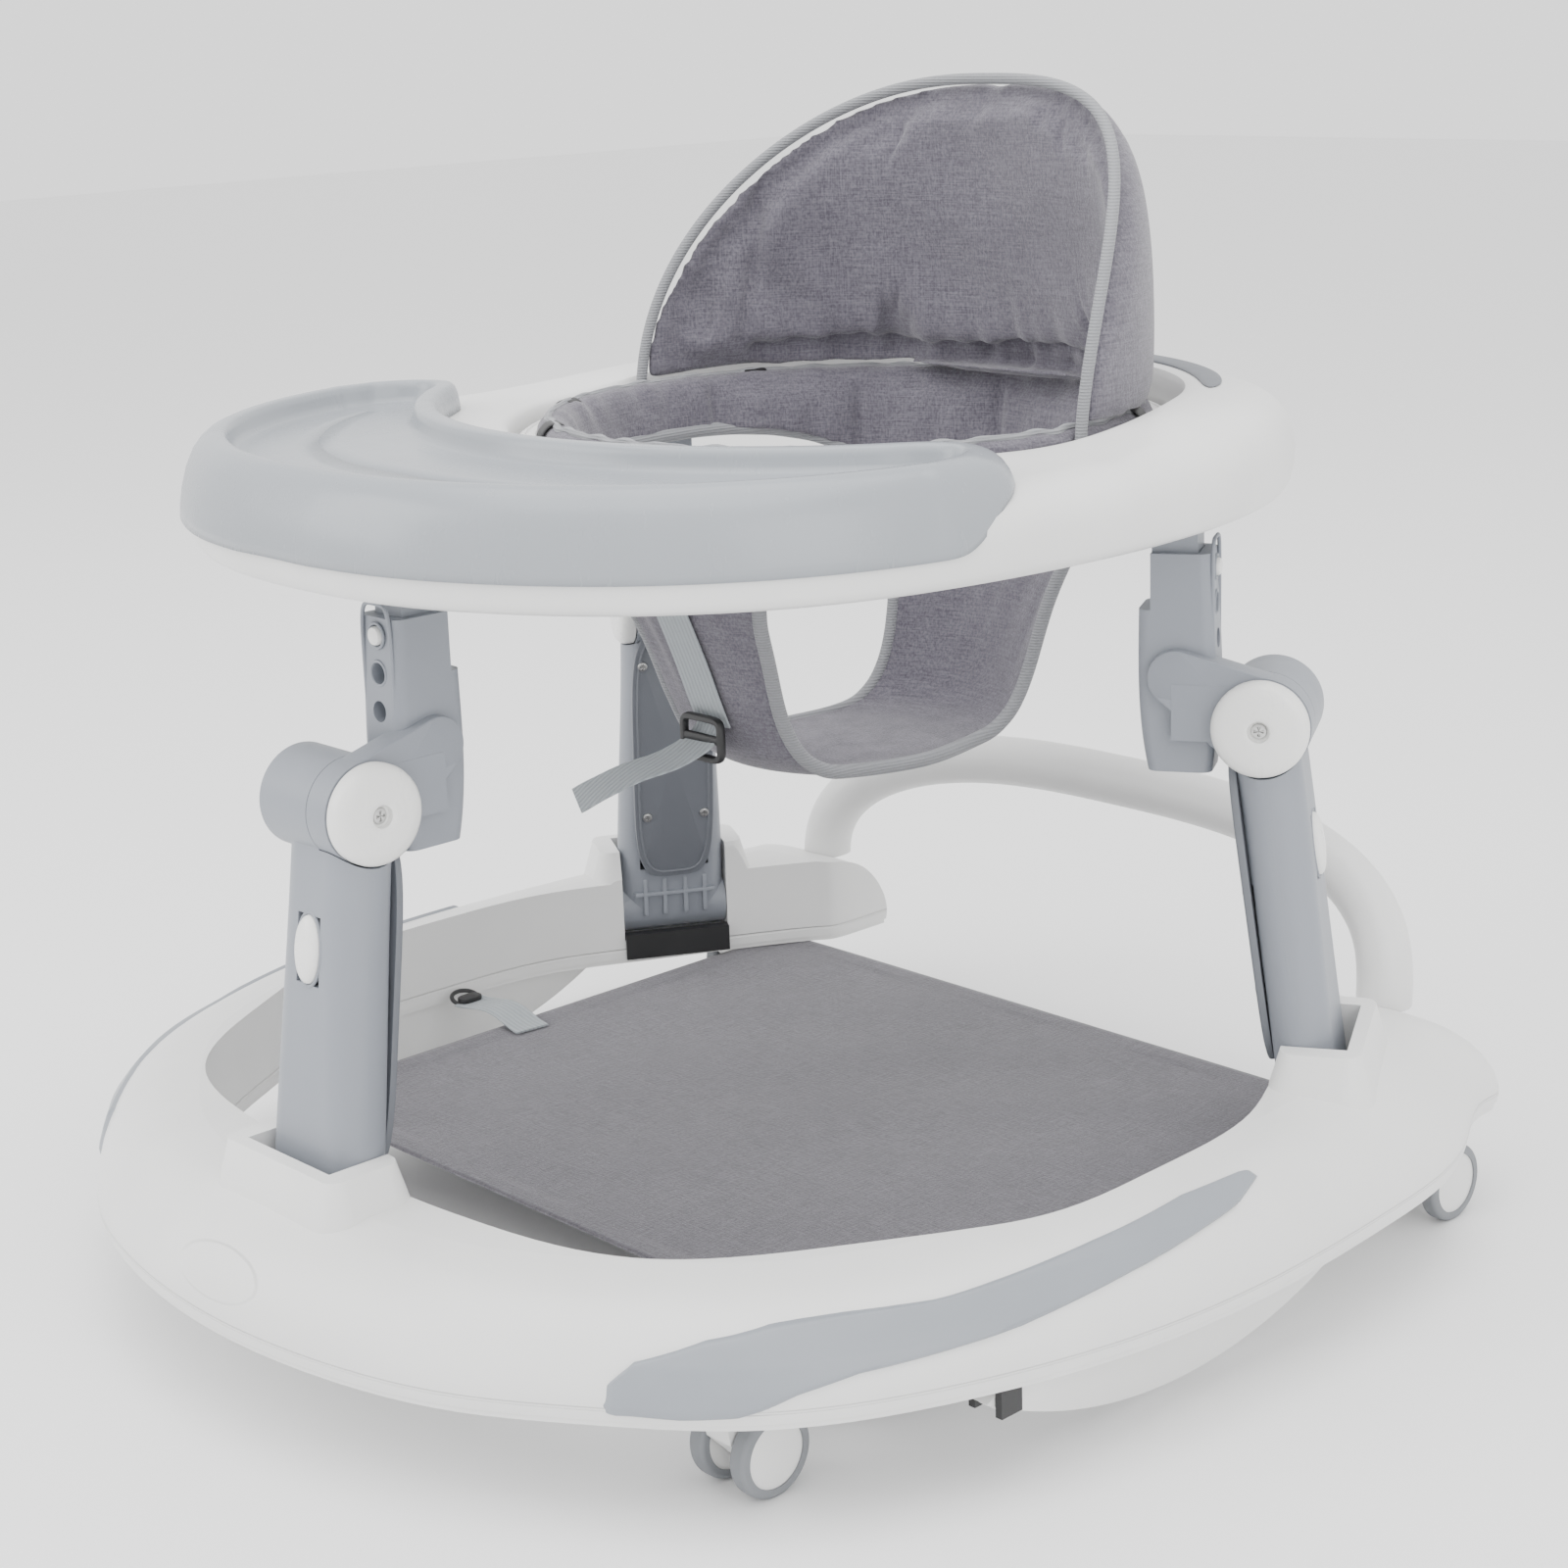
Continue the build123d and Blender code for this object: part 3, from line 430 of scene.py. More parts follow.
def ring_reach(turn, inset):
    """Distance from the seat's centre to the ring's outline, drawn in by inset, towards each turn."""
    x = ring_unit[:, 0] * (ring_half_width - inset)
    y = ring_middle_y + ring_unit[:, 1] * (ring_half_depth - inset) - seat_centre[1]
    angle = np.arctan2(y, x)
    order = np.argsort(angle)
    return np.interp(turn, angle[order], np.hypot(x, y)[order], period=2 * np.pi)


def eased(value, low, high):
    """Smoothstep: 0 below low, 1 above high, 3t^2 - 2t^3 between."""
    t = np.clip((np.asarray(value, float) - low) / (high - low), 0, 1)
    return t * t * (3 - 2 * t)


def about_seat(radius, turn, height=None):
    """Points at a radius and a turn about the seat's centre, in plan, or in space where a height is given."""
    plan = np.column_stack((radius * np.cos(turn), radius * np.sin(turn))) + seat_centre
    return plan if height is None else np.column_stack((plan, np.broadcast_to(height, len(plan))))


def ring_surface():
    """Closed band round the well: its profile (radius, height) is lifted by 10 mm at the rear, eased in."""
    turn = np.linspace(-np.pi, np.pi, 320, endpoint=False)
    lift = 10 * eased(np.sin(turn), -0.30, 0.45)
    skirt = ((13, 411, 0), (11.5, 409.4, 0), (9, 409.2, 0), (5, 411.5, 0), (2, 416, 0), (0.3, 423, 0.1),
             (0, 430, 0.25),
             (1.2, 435.5, 0.45), (4, 440.5, 0.7), (8, 444.2, 0.9), (13, 447, 1), (19, 449.2, 1),
             (26, 450.8, 1), (33, 451.6, 1))
    well = ((197, 452, 1), (191, 452, 1), (188, 451.2, 1), (186, 449.4, 0.8), (185.2, 446, 0.4),
            (185, 441, 0.1), (185, 437.4, 0),
            (184.4, 437, 0), (172.5, 437, 0), (172, 436.5, 0), (172, 434.5, 0), (172.5, 434, 0),
            (187.5, 434, 0), (188, 434.6, 0),
            (188.3, 447, 0.4), (190, 449, 0.9), (196, 449.4, 1))
    inside = ((26, 448.9, 1), (18, 448, 1), (11, 444, 0.9), (6.5, 439, 0.5), (3.4, 430, 0.2), (3.6, 422, 0),
              (6, 416, 0), (10, 412, 0))
    rows = [(ring_reach(turn, i), z + lift * k) for i, z, k in skirt]
    rows += [(np.full(turn.shape, float(r)), z + lift * k) for r, z, k in well]
    rows += [(ring_reach(turn, i), z + lift * k) for i, z, k in inside]
    grid = np.array([about_seat(r, turn, z) for r, z in rows])
    return sheet_mesh("ring", grid, wrap_u=True, wrap_v=True)


def plate_mesh(name, outline, origin, first, second, low, high, edge=0.6):
    """Outline (n, 2) in mm on two axes through origin, from low to high on their normal, rims eased."""
    outline = np.asarray(outline, float)
    middle = outline.mean(0)
    span = np.abs(outline - middle).max()
    first, second = np.asarray(first, float), np.asarray(second, float)
    normal = np.cross(first, second)
    rows = []
    for inset, height in ((edge, low), (edge * 0.3, low + edge * 0.3), (0, low + edge), (0, high - edge),
                          (edge * 0.3, high - edge * 0.3), (edge, high)):
        flat = middle + (outline - middle) * (1 - inset / span)
        rows.append(np.asarray(origin, float) + flat[:, :1] * first + flat[:, 1:] * second + height * normal)
    return sheet_mesh(name, np.array(rows), wrap_v=True, caps=True)


ring_meshes = [ring_surface()]
for name in legs:
    outward, hinge, rising = leg_axes(name)
    lug_side = 13.5 if name == "front" else 17.0
    for step in (-1, 1):
        tab = blunt_profile(9, 10, 5) + (0, 2)
        ring_meshes.append(plate_mesh("lug", tab, leg_spot(name, pivot_out, step * lug_side, 436), outward,
                                      rising, -2, 2))
ring = settle("ring_body", joined("ring", ring_meshes), white, "ring")
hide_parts("ring_shell")

grip_turn = np.linspace(np.radians(35), np.radians(145), 90)
grip_path = about_seat(202, grip_turn, 462.4)
grip_grow = np.sqrt(np.clip(1 - np.linspace(-1, 1, 90) ** 8, 0.02, 1))
grip = settle("ring_grip", rod("grip", grip_path, blunt_profile(7.5, 1.3, 3, 20), grow=grip_grow),
              cover_grey, "ring")
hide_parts("rear_grip")


# ------------------------------------------------------------------ tray
tray_inner = 222.0                # radius of the tray's inner edge about the seat's centre
tray_overhang = 3.3               # how far its outer edge stands past the ring


def tray_surface():
    """Bands from the tray's edge to its middle line: a crest all round, then a dished floor."""
    turns = np.radians(np.arange(-90, -40, 3))
    inner = about_seat(tray_inner, turns)
    horn = np.array([(186, -25), (207, -15), (231, -17), (247, -31), (253.5, -47)])
    turns = np.radians(np.arange(-34, -90.5, -3))
    outer = about_seat(ring_reach(turns, -tray_overhang), turns)
    half = np.vstack((inner, horn, outer))
    edge = smooth_line(np.vstack((half, half[-2:0:-1] * (-1, 1))), 520, closed=True)
    turns = np.radians(np.linspace(-140, -40, 400))
    spine = about_seat((tray_inner + ring_reach(turns, -tray_overhang)) / 2 - 3, turns)
    near = spine[np.argmin(((edge[:, None] - spine[None]) ** 2).sum(-1), axis=1)]
    for _ in range(3):
        near = (np.roll(near, 1, 0) + near + np.roll(near, -1, 0)) / 3
    gap = np.linalg.norm(near - edge, axis=1)
    offset = edge - seat_centre
    radius, angle = np.hypot(*offset.T), np.arctan2(offset[:, 1], offset[:, 0])
    share = np.clip((radius - tray_inner) / (ring_reach(angle, -tray_overhang) - tray_inner), 0, 1)
    inward = 1 - eased(share, 0.05, 0.75)
    drawn = ring_reach(angle, 0) - radius
    rest = np.interp(drawn, (-3.4, -1, 0, 5, 13, 26, 40), (425.5, 428, 429, 442.5, 449.9, 452.3, 452.3))
    depth = np.array([0, 0.5, 2, 5, 9, 13, 17, 21, 25, 26.6, 27.6, 28.8, 30, 32.5, 37])
    outer_rise = np.array([0, 0.13, 0.33, 0.57, 0.77, 0.89, 0.965, 1.0, 0.985, 0.90, 0.62, 0.32, 0.12, 0.02,
                           0])
    inner_depth = np.array([0, 0.4, 1.2, 2.6, 4.5, 7, 9, 11, 13, 14.6, 15.6, 16.8, 18.2, 21, 30])
    inner_rise = np.array([0, 0.30, 0.60, 0.85, 0.97, 1.0, 1.0, 1.0, 0.985, 0.90, 0.62, 0.32, 0.12, 0.02, 0])
    for _ in range(24):
        rest = (np.roll(rest, 1) + rest + np.roll(rest, -1)) / 3
    rows = []
    crest, floor_z = 467.0, 455.0
    for k, (d, o, e, i) in enumerate(zip(depth, outer_rise, inner_depth, inner_rise)):
        share = np.minimum((d * (1 - inward) + e * inward) / gap, 0.96)
        foot_out, foot_in = (rest, rest) if k < 8 else (floor_z, floor_z)
        level_out = foot_out + (crest - foot_out) * o
        level_in = foot_in + (crest - foot_in) * i
        level = level_out * (1 - inward) + level_in * inward
        rows.append(np.column_stack((edge + (near - edge) * share[:, None], level)))
    start = share
    for step in (0.3, 0.65, 1.0):
        share = start + (1 - start) * step
        rows.append(np.column_stack((edge + (near - edge) * share[:, None], np.full(len(edge), floor_z))))
    return sheet_mesh("tray", np.array(rows), wrap_v=True)


tray = settle("snack_tray", tray_surface(), tray_blue, "ring", 60)
shell = tray.modifiers.new("wall", "SOLIDIFY")
shell.thickness = 0.0024
shell.offset = -1
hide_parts("tray")
catch = plate_mesh("catch", blunt_profile(8, 3.2, 5), (0, -111, 455.4), (1, 0, 0), (0, 1, 0), 0, 4.6, 1.2)
latch = settle("tray_catch", catch, tray_blue, "ring")
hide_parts("tray_latch")

# ------------------------------------------------------------------ turning seat ring
seat_profile = ((160.4, 438), (160.2, 443), (161, 445), (163, 445.6), (169, 445.6), (169.6, 444.2),
                (170.8, 444.2), (171.4, 445.4),
                (175, 445.2), (175.6, 443.8), (176.8, 443.8), (177.4, 444.8), (179.6, 444.4), (181.4, 443.2),
                (182, 441.6),
                (182, 438.4), (181.4, 437.6), (161, 437.6))
seat_grid = np.array([about_seat(r, full_turn(240), z) for r, z in seat_profile])
seat_mesh = sheet_mesh("turning_ring", seat_grid, wrap_u=True, wrap_v=True)
seat_ring = settle("turning_ring", seat_mesh, white, "seat")
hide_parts("seat_ring")


# ------------------------------------------------------------------ seat back
def vertices(mesh):
    points = np.empty(len(mesh.vertices) * 3, np.float32)
    mesh.vertices.foreach_get("co", points)
    return points.reshape(-1, 3).astype(float)


def filled(piece, voxel, frames, pressure, cap):
    """Padding: remesh evenly, blow up as cloth, cap how far each point moved, then keep the result."""
    rest = piece.modifiers.new("even", "REMESH")
    rest.mode = "VOXEL"
    rest.voxel_size = voxel
    rest.use_smooth_shade = True
    bake(piece)
    start = vertices(piece.data)
    cloth = piece.modifiers.new("stuffing", "CLOTH")
    cloth.settings.use_pressure = True
    cloth.settings.uniform_pressure_force = pressure
    cloth.settings.mass = 0.25
    cloth.settings.tension_stiffness = 18
    cloth.settings.compression_stiffness = 18
    cloth.settings.bending_stiffness = 0.4
    cloth.settings.effector_weights.gravity = 0
    cloth.point_cache.frame_start, cloth.point_cache.frame_end = 1, frames
    for step in range(1, frames + 1):
        bpy.context.scene.frame_set(step)
    bake(piece)
    bpy.context.scene.frame_set(1)
    moved = vertices(piece.data) - start
    length = np.linalg.norm(moved, axis=1)[:, None]
    moved *= np.minimum(1, cap * mm / np.maximum(length, 1e-9))
    piece.data.vertices.foreach_set("co", (start + moved).astype(np.float32).ravel())
    piece.data.update()
    return piece


def bake(piece):
    """Apply a piece's modifiers to its mesh."""
    bpy.context.view_layer.update()
    made = bpy.data.meshes.new_from_object(piece.evaluated_get(bpy.context.evaluated_depsgraph_get()))
    piece.modifiers.clear()
    piece.data = made


back_half_width, arch_power = 173.5, 0.76
hoop_foot_z, hoop_height, pad_height = 446.5, 178, 181


def hoop_lean(rise):
    """How far back the hoop's edge stands at a share of its rise."""
    return 100 + 122 * (0.10 * rise + 0.90 * rise ** 2)


def hoop_edge(turn, margin):
    """Half width, edge y, height and rise of the back at a turn up the hoop: a leaning superellipse."""
    rise = np.sin(turn) ** arch_power
    half = (back_half_width - margin) * np.cos(turn) ** arch_power
    return half, hoop_lean(rise), hoop_foot_z + (pad_height - margin) * rise, rise


def back_face(turn, across, margin):
    """Point of the back: half an ellipse in plan, as wide as the hoop, as deep as the seat ring."""
    half, edge_y, height, rise = hoop_edge(turn, margin)
    middle = 100 + 157 - 24 * rise
    return np.stack((half * np.sin(across), edge_y + (middle - edge_y) * np.cos(across) ** 0.9,
                     height + 0 * across), -1)


def back_surface():
    turn = np.radians(0.9 + 88.3 * np.linspace(0, 1, 60) ** 1.25)[:, None]
    across = np.linspace(-np.pi / 2, np.pi / 2, 90)[None, :]
    rear = back_face(turn, across, 2.0)
    side = np.gradient(rear, axis=1)
    rise = np.gradient(rear, axis=0)
    normal = np.cross(side, rise)
    normal /= np.linalg.norm(normal, axis=-1)[..., None] + 1e-9
    toward = np.array((0, 120, 520)) - rear
    normal *= np.sign((normal * toward).sum(-1))[..., None]
    plump = 5.5 + 9 * (eased(np.pi / 2 - np.abs(across), 0.08, 0.45) * eased(np.pi / 2 - turn, 0.06, 0.4)
                       * eased(turn, 0.0, 0.1))
    front = rear + normal * plump[..., None]
    grid = np.concatenate((rear, front[:, ::-1]), axis=1)
    return sheet_mesh("back", grid, wrap_v=True, caps=True)


back = settle("seat_back_pad", back_surface(), seat_cloth, None, 180)
filled(back, 0.0042, 18, 5.0, 5.0)


def gathered(piece, height, half_turn, wing):
    """A seam round the pad's front and one up each wing, with the pulls that spread from them. Each is a
    narrow groove, depth times exp(-(distance / width)^2), and the cloth between stands in soft folds."""
    points = vertices(piece.data) / mm
    normals = np.empty(len(points) * 3, np.float32)
    piece.data.vertices.foreach_get("normal", normals)
    normals = normals.reshape(-1, 3)
    inward = np.column_stack((-points[:, 0], 110 - points[:, 1], np.zeros(len(points))))
    inward /= np.linalg.norm(inward, axis=1)[:, None] + 1e-9
    facing = eased((normals * inward).sum(1), 0.15, 0.6)
    x, y, z = points.T
    turn = np.degrees(np.arctan2(x, y - 100))
    here = eased(turn, -half_turn - 3, 3 - half_turn) * (1 - eased(turn, half_turn - 3, half_turn + 3))
    line = height + 1.5 * np.sin(turn * 0.11) + 0.8 * np.sin(turn * 0.31 + 1)
    sink = here * (6.0 * np.exp(-((z - line) / 3.0) ** 2) + 2.4 * np.exp(-((z - line) / 10) ** 2))
    ripple = np.sin(turn * 0.62 + 1.3 * np.sin(turn * 0.17)) * np.sin(turn * 0.23 + 0.6)
    sink += here * 3.4 * ripple * np.exp(-np.abs(z - line) / 16)
    for side in (-1, 1):
        line = side * (wing - 0.05 * (z - 470))
        away_from = (turn - line) * 2.6
        sink += 4.5 * np.exp(-(away_from / 4.5) ** 2) * eased(z, 462, 480)
    wave = 0.9 * np.sin(x * 0.045 + z * 0.016 + 1.1 * np.sin(z * 0.05))
    wave += 0.7 * np.sin(z * 0.07 + x * 0.02 + 2.0 * np.sin(x * 0.025))
    pulls = 1.6 * np.exp(-((z - 500) / 26) ** 2) * np.sin(turn * 0.33 + z * 0.08)
    sink += wave * 1.5 + pulls * eased(np.abs(turn), 20, 60) * 1.6
    points -= normals * (sink * facing)[:, None]
    piece.data.vertices.foreach_set("co", (points * mm).astype(np.float32).ravel())
    piece.data.update()


gathered(back, 468, 66, 68)


def finer(piece):
    """One subdivision, kept in the mesh."""
    soft = piece.modifiers.new("soft", "SUBSURF")
    soft.levels = soft.render_levels = 1
    bake(piece)
    piece.data.shade_smooth()


finer(back)
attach(back, "seat")
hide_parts("seat_back")

hoop_turn = np.radians(np.linspace(0, 180, 160))
hoop_rise = np.sin(hoop_turn) ** arch_power
hoop_rise[[0, -1]] = 0
hoop_across = back_half_width * np.sign(np.cos(hoop_turn)) * np.abs(np.cos(hoop_turn)) ** arch_power
hoop_points = np.column_stack((hoop_across, hoop_lean(hoop_rise), hoop_foot_z + hoop_height * hoop_rise))
hoop_path = smooth_line(hoop_points, 200)
hoop = settle("back_piping", rod("hoop", hoop_path, round_profile(3.2, 14), (0, -1, 0.2)),
              piping, "seat")
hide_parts("seat_hoop")


# ------------------------------------------------------------------ seat sling
pan_line = smooth_line(np.array(((0.5, 261), (40, 260.6), (66, 261.5), (84, 267), (100, 286), (121, 338),
                                 (144, 392), (149, 418),
                                 (151, 437), (153.5, 447), (158.5, 452.6), (164.5, 452.4), (168.3, 448.8),
                                 (168.8, 446.6))), 150)
pan_reach = np.concatenate(([0], np.cumsum(np.linalg.norm(np.diff(pan_line, axis=0), axis=1))))
hole_turn, hole_half_turn = 86.0, 62.0
hole_low, hole_high = 60.0, pan_reach[np.argmin(abs(pan_line[:, 1] - 425))]


def pan_point(turn, reach, out=0.0):
    """Point of the sling: turned profile, turn in degrees from the front to the child's left, reach along the
    profile from its middle; ripples of 2 mm run down it and out stands it off the face."""
    radius = np.interp(reach, pan_reach, pan_line[:, 0])
    height = np.interp(reach, pan_reach, pan_line[:, 1])
    angle = np.radians(turn)
    deep = eased(reach, 90, 170) * (1 - eased(reach, pan_reach[-1] - 46, pan_reach[-1] - 20))
    ripple = deep * (1.5 * np.sin(11 * angle + 1.7 * np.sin(3 * angle))
                     + 0.9 * np.sin(23 * angle + reach * 0.05))
    pucker = (1 - deep) * eased(reach, pan_reach[-1] - 40, pan_reach[-1] - 24) * (
        1.0 * np.sin(31 * angle + 2 * np.sin(5 * angle)) + 0.7 * np.sin(53 * angle))
    radius = radius - np.abs(ripple) - 0.6 * pucker + out
    return np.stack((radius * np.sin(angle), seat_centre[1] - radius * np.cos(angle), height + 0.5 * pucker),
                    -1)


def hole_share(turn, reach):
    """Superellipse distance from the middle of a leg hole: 1 on its edge."""
    across = np.abs(np.abs(turn) - hole_turn) / hole_half_turn
    along = np.abs(reach - (hole_low + hole_high) / 2) / ((hole_high - hole_low) / 2)
    return (across ** 3.2 + along ** 3.2) ** (1 / 3.2)


def sling_surface():
    turn, reach = np.meshgrid(np.linspace(-180, 180, 181)[:-1], np.linspace(1.5, pan_reach[-1], 84),
                              indexing="xy")
    rows, columns = turn.shape
    index = np.arange(rows * columns).reshape(rows, columns)
    index = np.hstack((index, index[:, :1]))
    faces = np.stack((index[:-1, :-1], index[1:, :-1], index[1:, 1:], index[:-1, 1:]), -1).reshape(-1, 4)
    step = 360 / columns
    middle_turn = (turn + step / 2)[:-1]
    middle_reach = (reach[:-1] + reach[1:]) / 2
    cut = (hole_share(middle_turn, middle_reach) < 1).ravel()
    kept = faces[~cut]
    edge = np.intersect1d(kept.ravel(), faces[cut].ravel())
    flat_turn, flat_reach = turn.ravel().copy(), reach.ravel().copy()
    share = hole_share(flat_turn[edge], flat_reach[edge])
    side = np.sign(flat_turn[edge])
    flat_turn[edge] = side * (hole_turn + (np.abs(flat_turn[edge]) - hole_turn) / share)
    middle = (hole_low + hole_high) / 2
    flat_reach[edge] = middle + (flat_reach[edge] - middle) / share
    points = pan_point(flat_turn, flat_reach)
    points = np.vstack((points, (0, seat_centre[1], pan_line[0, 1])))
    ring_row = index[0]
    fan = np.column_stack((ring_row[1:], ring_row[:-1], np.full(columns, len(points) - 1)))
    mesh = bpy.data.meshes.new("sling")
    mesh.from_pydata((points * mm).tolist(), [], kept.tolist() + fan.tolist())
    shape = bmesh.new()
    shape.from_mesh(mesh)
    loose = [v for v in shape.verts if not v.link_faces]
    bmesh.ops.delete(shape, geom=loose, context="VERTS")
    bmesh.ops.recalc_face_normals(shape, faces=shape.faces)
    shape.to_mesh(mesh)
    shape.free()
    return mesh


sling = settle("seat_sling", sling_surface(), seat_cloth, None, 180)
thick = sling.modifiers.new("thick", "SOLIDIFY")
thick.thickness = 0.0042
thick.offset = 0
bake(sling)
finer(sling)


def seamed(piece):
    """Upright seams in the rear wall of the sling, and a tuck where the back pad's foot meets it."""
    points = vertices(piece.data) / mm
    x, y, z = points.T
    turn = np.degrees(np.arctan2(x, y - 100))
    sink = np.zeros(len(points))
    for place in (-77, -42, -7, 28, 63):
        groove = 4.2 * np.exp(-(((turn - place) * 2.6) / 3.2) ** 2)
        sink += groove * eased(z, 370, 390) * (1 - eased(z, 442, 452))
    rear_wall = eased(z, 375, 410) * (1 - eased(z, 438, 450)) * (np.abs(turn) < 80)
    puff = 4.5 * np.abs(np.cos(np.radians((turn + 7 + 17.5) * 180 / 35))) * rear_wall
    inward = np.column_stack((-x, 100 - y, np.zeros(len(x))))
    inward /= np.linalg.norm(inward, axis=1)[:, None] + 1e-9
    points += inward * (puff - sink * 0.6)[:, None]
    piece.data.vertices.foreach_set("co", (points * mm).astype(np.float32).ravel())
    piece.data.update()


seamed(sling)
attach(sling, "seat")
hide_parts("seat_pan")
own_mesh(sling)

edge_meshes = []
loop = full_turn(160)
c, s = np.cos(loop), np.sin(loop)
for side in (-1, 1):
    turn = side * (hole_turn + hole_half_turn * np.sign(c) * np.abs(c) ** (2 / 3.2))
    reach = (hole_low + hole_high) / 2 + (hole_high - hole_low) / 2 * np.sign(s) * np.abs(s) ** (2 / 3.2)
    line = smooth_line(pan_point(turn, reach), 200, closed=True)
    centre = line.mean(0) - (0, 100, 300)
    outward = np.array((centre[0], centre[1], 0)) / np.linalg.norm(centre[:2])
    edge_meshes.append(rod("edge", line, round_profile(4.0, 12), outward, closed=True))
leg_piping = settle("leg_hole_piping", joined("leg_piping", edge_meshes), piping, "seat")
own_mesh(leg_piping)

turn = np.linspace(0, 360, 320, endpoint=False)
rim_line = pan_point(turn, np.full(320, pan_reach[-1] - 9.0), 0.5) + (0, 0, 1.2)
settle("rim_binding", rod("rim", rim_line, round_profile(2.3, 10), closed=True), piping, "seat")

clip_profile = ((-9, 441), (-7.6, 450), (-3, 455), (3, 455), (7.2, 451), (8.6, 447.4))
clip_meshes = []
for at in (-150, -118, -62, -30, 25, 155):
    turn = np.radians(at)
    outward, along = np.array((np.cos(turn), np.sin(turn), 0)), np.array((-np.sin(turn), np.cos(turn), 0))
    base = np.array((0, 100, 0)) + outward * 163.5
    line = smooth_line(np.array([base + outward * x + (0, 0, z) for x, z in clip_profile]), 22)
    clip_meshes.append(rod("clip", line, blunt_profile(7, 0.8, 4, 20), (0, 0, 0.01) - outward))
clips = settle("rim_loops", joined("clips", clip_meshes), black, "seat")
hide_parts("rim_clips")


# ------------------------------------------------------------------ crotch webbing and buckle
def strap(path, width, thick, flat):
    """Flat tape along a path; flat is the direction its width lies in."""
    path = np.asarray(path, float)
    tangent = np.gradient(path, axis=0)
    tangent /= np.linalg.norm(tangent, axis=1)[:, None]
    wide = np.broadcast_to(np.asarray(flat, float), tangent.shape)
    wide = wide - (wide * tangent).sum(1)[:, None] * tangent
    wide /= np.linalg.norm(wide, axis=1)[:, None]
    normal = np.cross(tangent, wide)
    profile = blunt_profile(width / 2, thick / 2, 6, 24)
    return path[:, None] + profile[None, :, :1] * wide[:, None] + profile[None, :, 1:] * normal[:, None]


front_line = [(0, 100 - np.interp(z, pan_line[:, 1], pan_line[:, 0]) - 3.2, z)
              for z in (428, 410, 390, 360, 330, 306, 292)]
tail_line = [(0, -8, 292), (-2, -15, 284), (-8, -32, 276), (-17, -52, 271), (-26, -68, 264), (-33, -78, 258)]
band = sheet_mesh("band", strap(smooth_line(front_line, 60), 27, 1.5, (1, 0, 0)), wrap_v=True, caps=True)
tail = sheet_mesh("tail", strap(smooth_line(tail_line, 50), 27, 1.5, (0.94, -0.25, -0.1)), wrap_v=True,
                  caps=True)
webbing = settle("crotch_strap", joined("webbing", (band, tail)), tape, "seat")
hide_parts("crotch_webbing")
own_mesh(webbing)

buckle_at = np.array((0, -14.5, 286.0))
buckle_section = blunt_profile(2.0, 2.4, 3, 12)
frame_line = blunt_profile(17, 13, 6, 48)
loop_path = np.column_stack((frame_line[:, 0] * 0.88, np.zeros(48), frame_line[:, 1] * 0.86)) + buckle_at
bar_path = np.column_stack((np.linspace(-15, 15, 12), np.zeros(12), np.zeros(12))) + buckle_at
buckle_meshes = [rod("frame", loop_path, buckle_section, (0, 1, 0), closed=True),
                 rod("bar", bar_path, buckle_section)]
buckle = settle("slide_adjuster", joined("buckle", buckle_meshes), black, "seat")
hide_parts("slide_buckle")
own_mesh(buckle)

# ------------------------------------------------------------------ foot mat
mat_low, mat_high = (np.array(v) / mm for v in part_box("foot_mat"))


def mat_surface():
    """Rounded rectangle of tight cloth at z 52.2, with a hem, a line of stitches and 0.35 mm waves."""
    u, v = np.meshgrid(np.linspace(-1, 1, 150), np.linspace(-1, 1, 130), indexing="ij")
    half_x, half_y = (mat_high[0] - mat_low[0]) / 2 - 0.5, (mat_high[1] - mat_low[1]) / 2 - 0.5
    round_off = 1 - 0.018 * (np.abs(u) * np.abs(v)) ** 14
    middle_y = (mat_low[1] + mat_high[1]) / 2
    x = u * half_x * round_off
    y = middle_y + v * half_y * round_off
    hem = eased(np.maximum(np.abs(x) - half_x + 13, np.abs(y - middle_y) - half_y + 13), -1.2, 0.8)
    stitch = np.exp(-((np.maximum(np.abs(x) - half_x, np.abs(y - middle_y) - half_y) + 11) / 1.0) ** 2)
    waves = 0.35 * np.sin(x * 0.05 + 1.2 * np.sin(y * 0.02)) * np.sin(y * 0.035) * (1 - hem)
    z = 52.2 + 0.5 * hem - 0.45 * stitch + waves
    return sheet_mesh("mat", np.stack((x, y, z), -1))


mat = settle("foot_mat_cloth", mat_surface(), mat_cloth, "base", 180)
body = mat.modifiers.new("body", "SOLIDIFY")
body.thickness = 0.0014
body.offset = 0
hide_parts("foot_mat")

tie_meshes, loop_meshes = [], []
for side in (-1, 1):
    for row in (-104, 20):
        wave = np.linspace(0, 1, 40)[:, None]
        line = np.hstack((side * (214 + 66 * wave), row + 2 * np.sin(3 * wave),
                          54.6 + 4.5 * np.sin(np.pi * wave) ** 2 + 3 * wave))
        tie_meshes.append(sheet_mesh("tie", strap(line, 24, 1.3, (0, 1, 0)), wrap_v=True, caps=True))
        ring_turn = full_turn(48)
        ring_path = np.column_stack((side * (283 + 7.5 * np.cos(ring_turn)), row + 9.0 * np.sin(ring_turn),
                                     59 + 2.5 * np.cos(ring_turn)))
        loop_meshes.append(rod("loop", ring_path, round_profile(1.4, 10), closed=True))
        hook = plate_mesh("hook", blunt_profile(5, 8, 3), (side * 278, row, 60), (1, 0, 0), (0, 1, 0), -1.6,
                          1.6)
        loop_meshes.append(hook)
ties = settle("mat_straps", joined("ties", tie_meshes), tie_tape, "base")
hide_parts("mat_ties")
settle("elastic_loops", joined("loops", loop_meshes), black, "base")


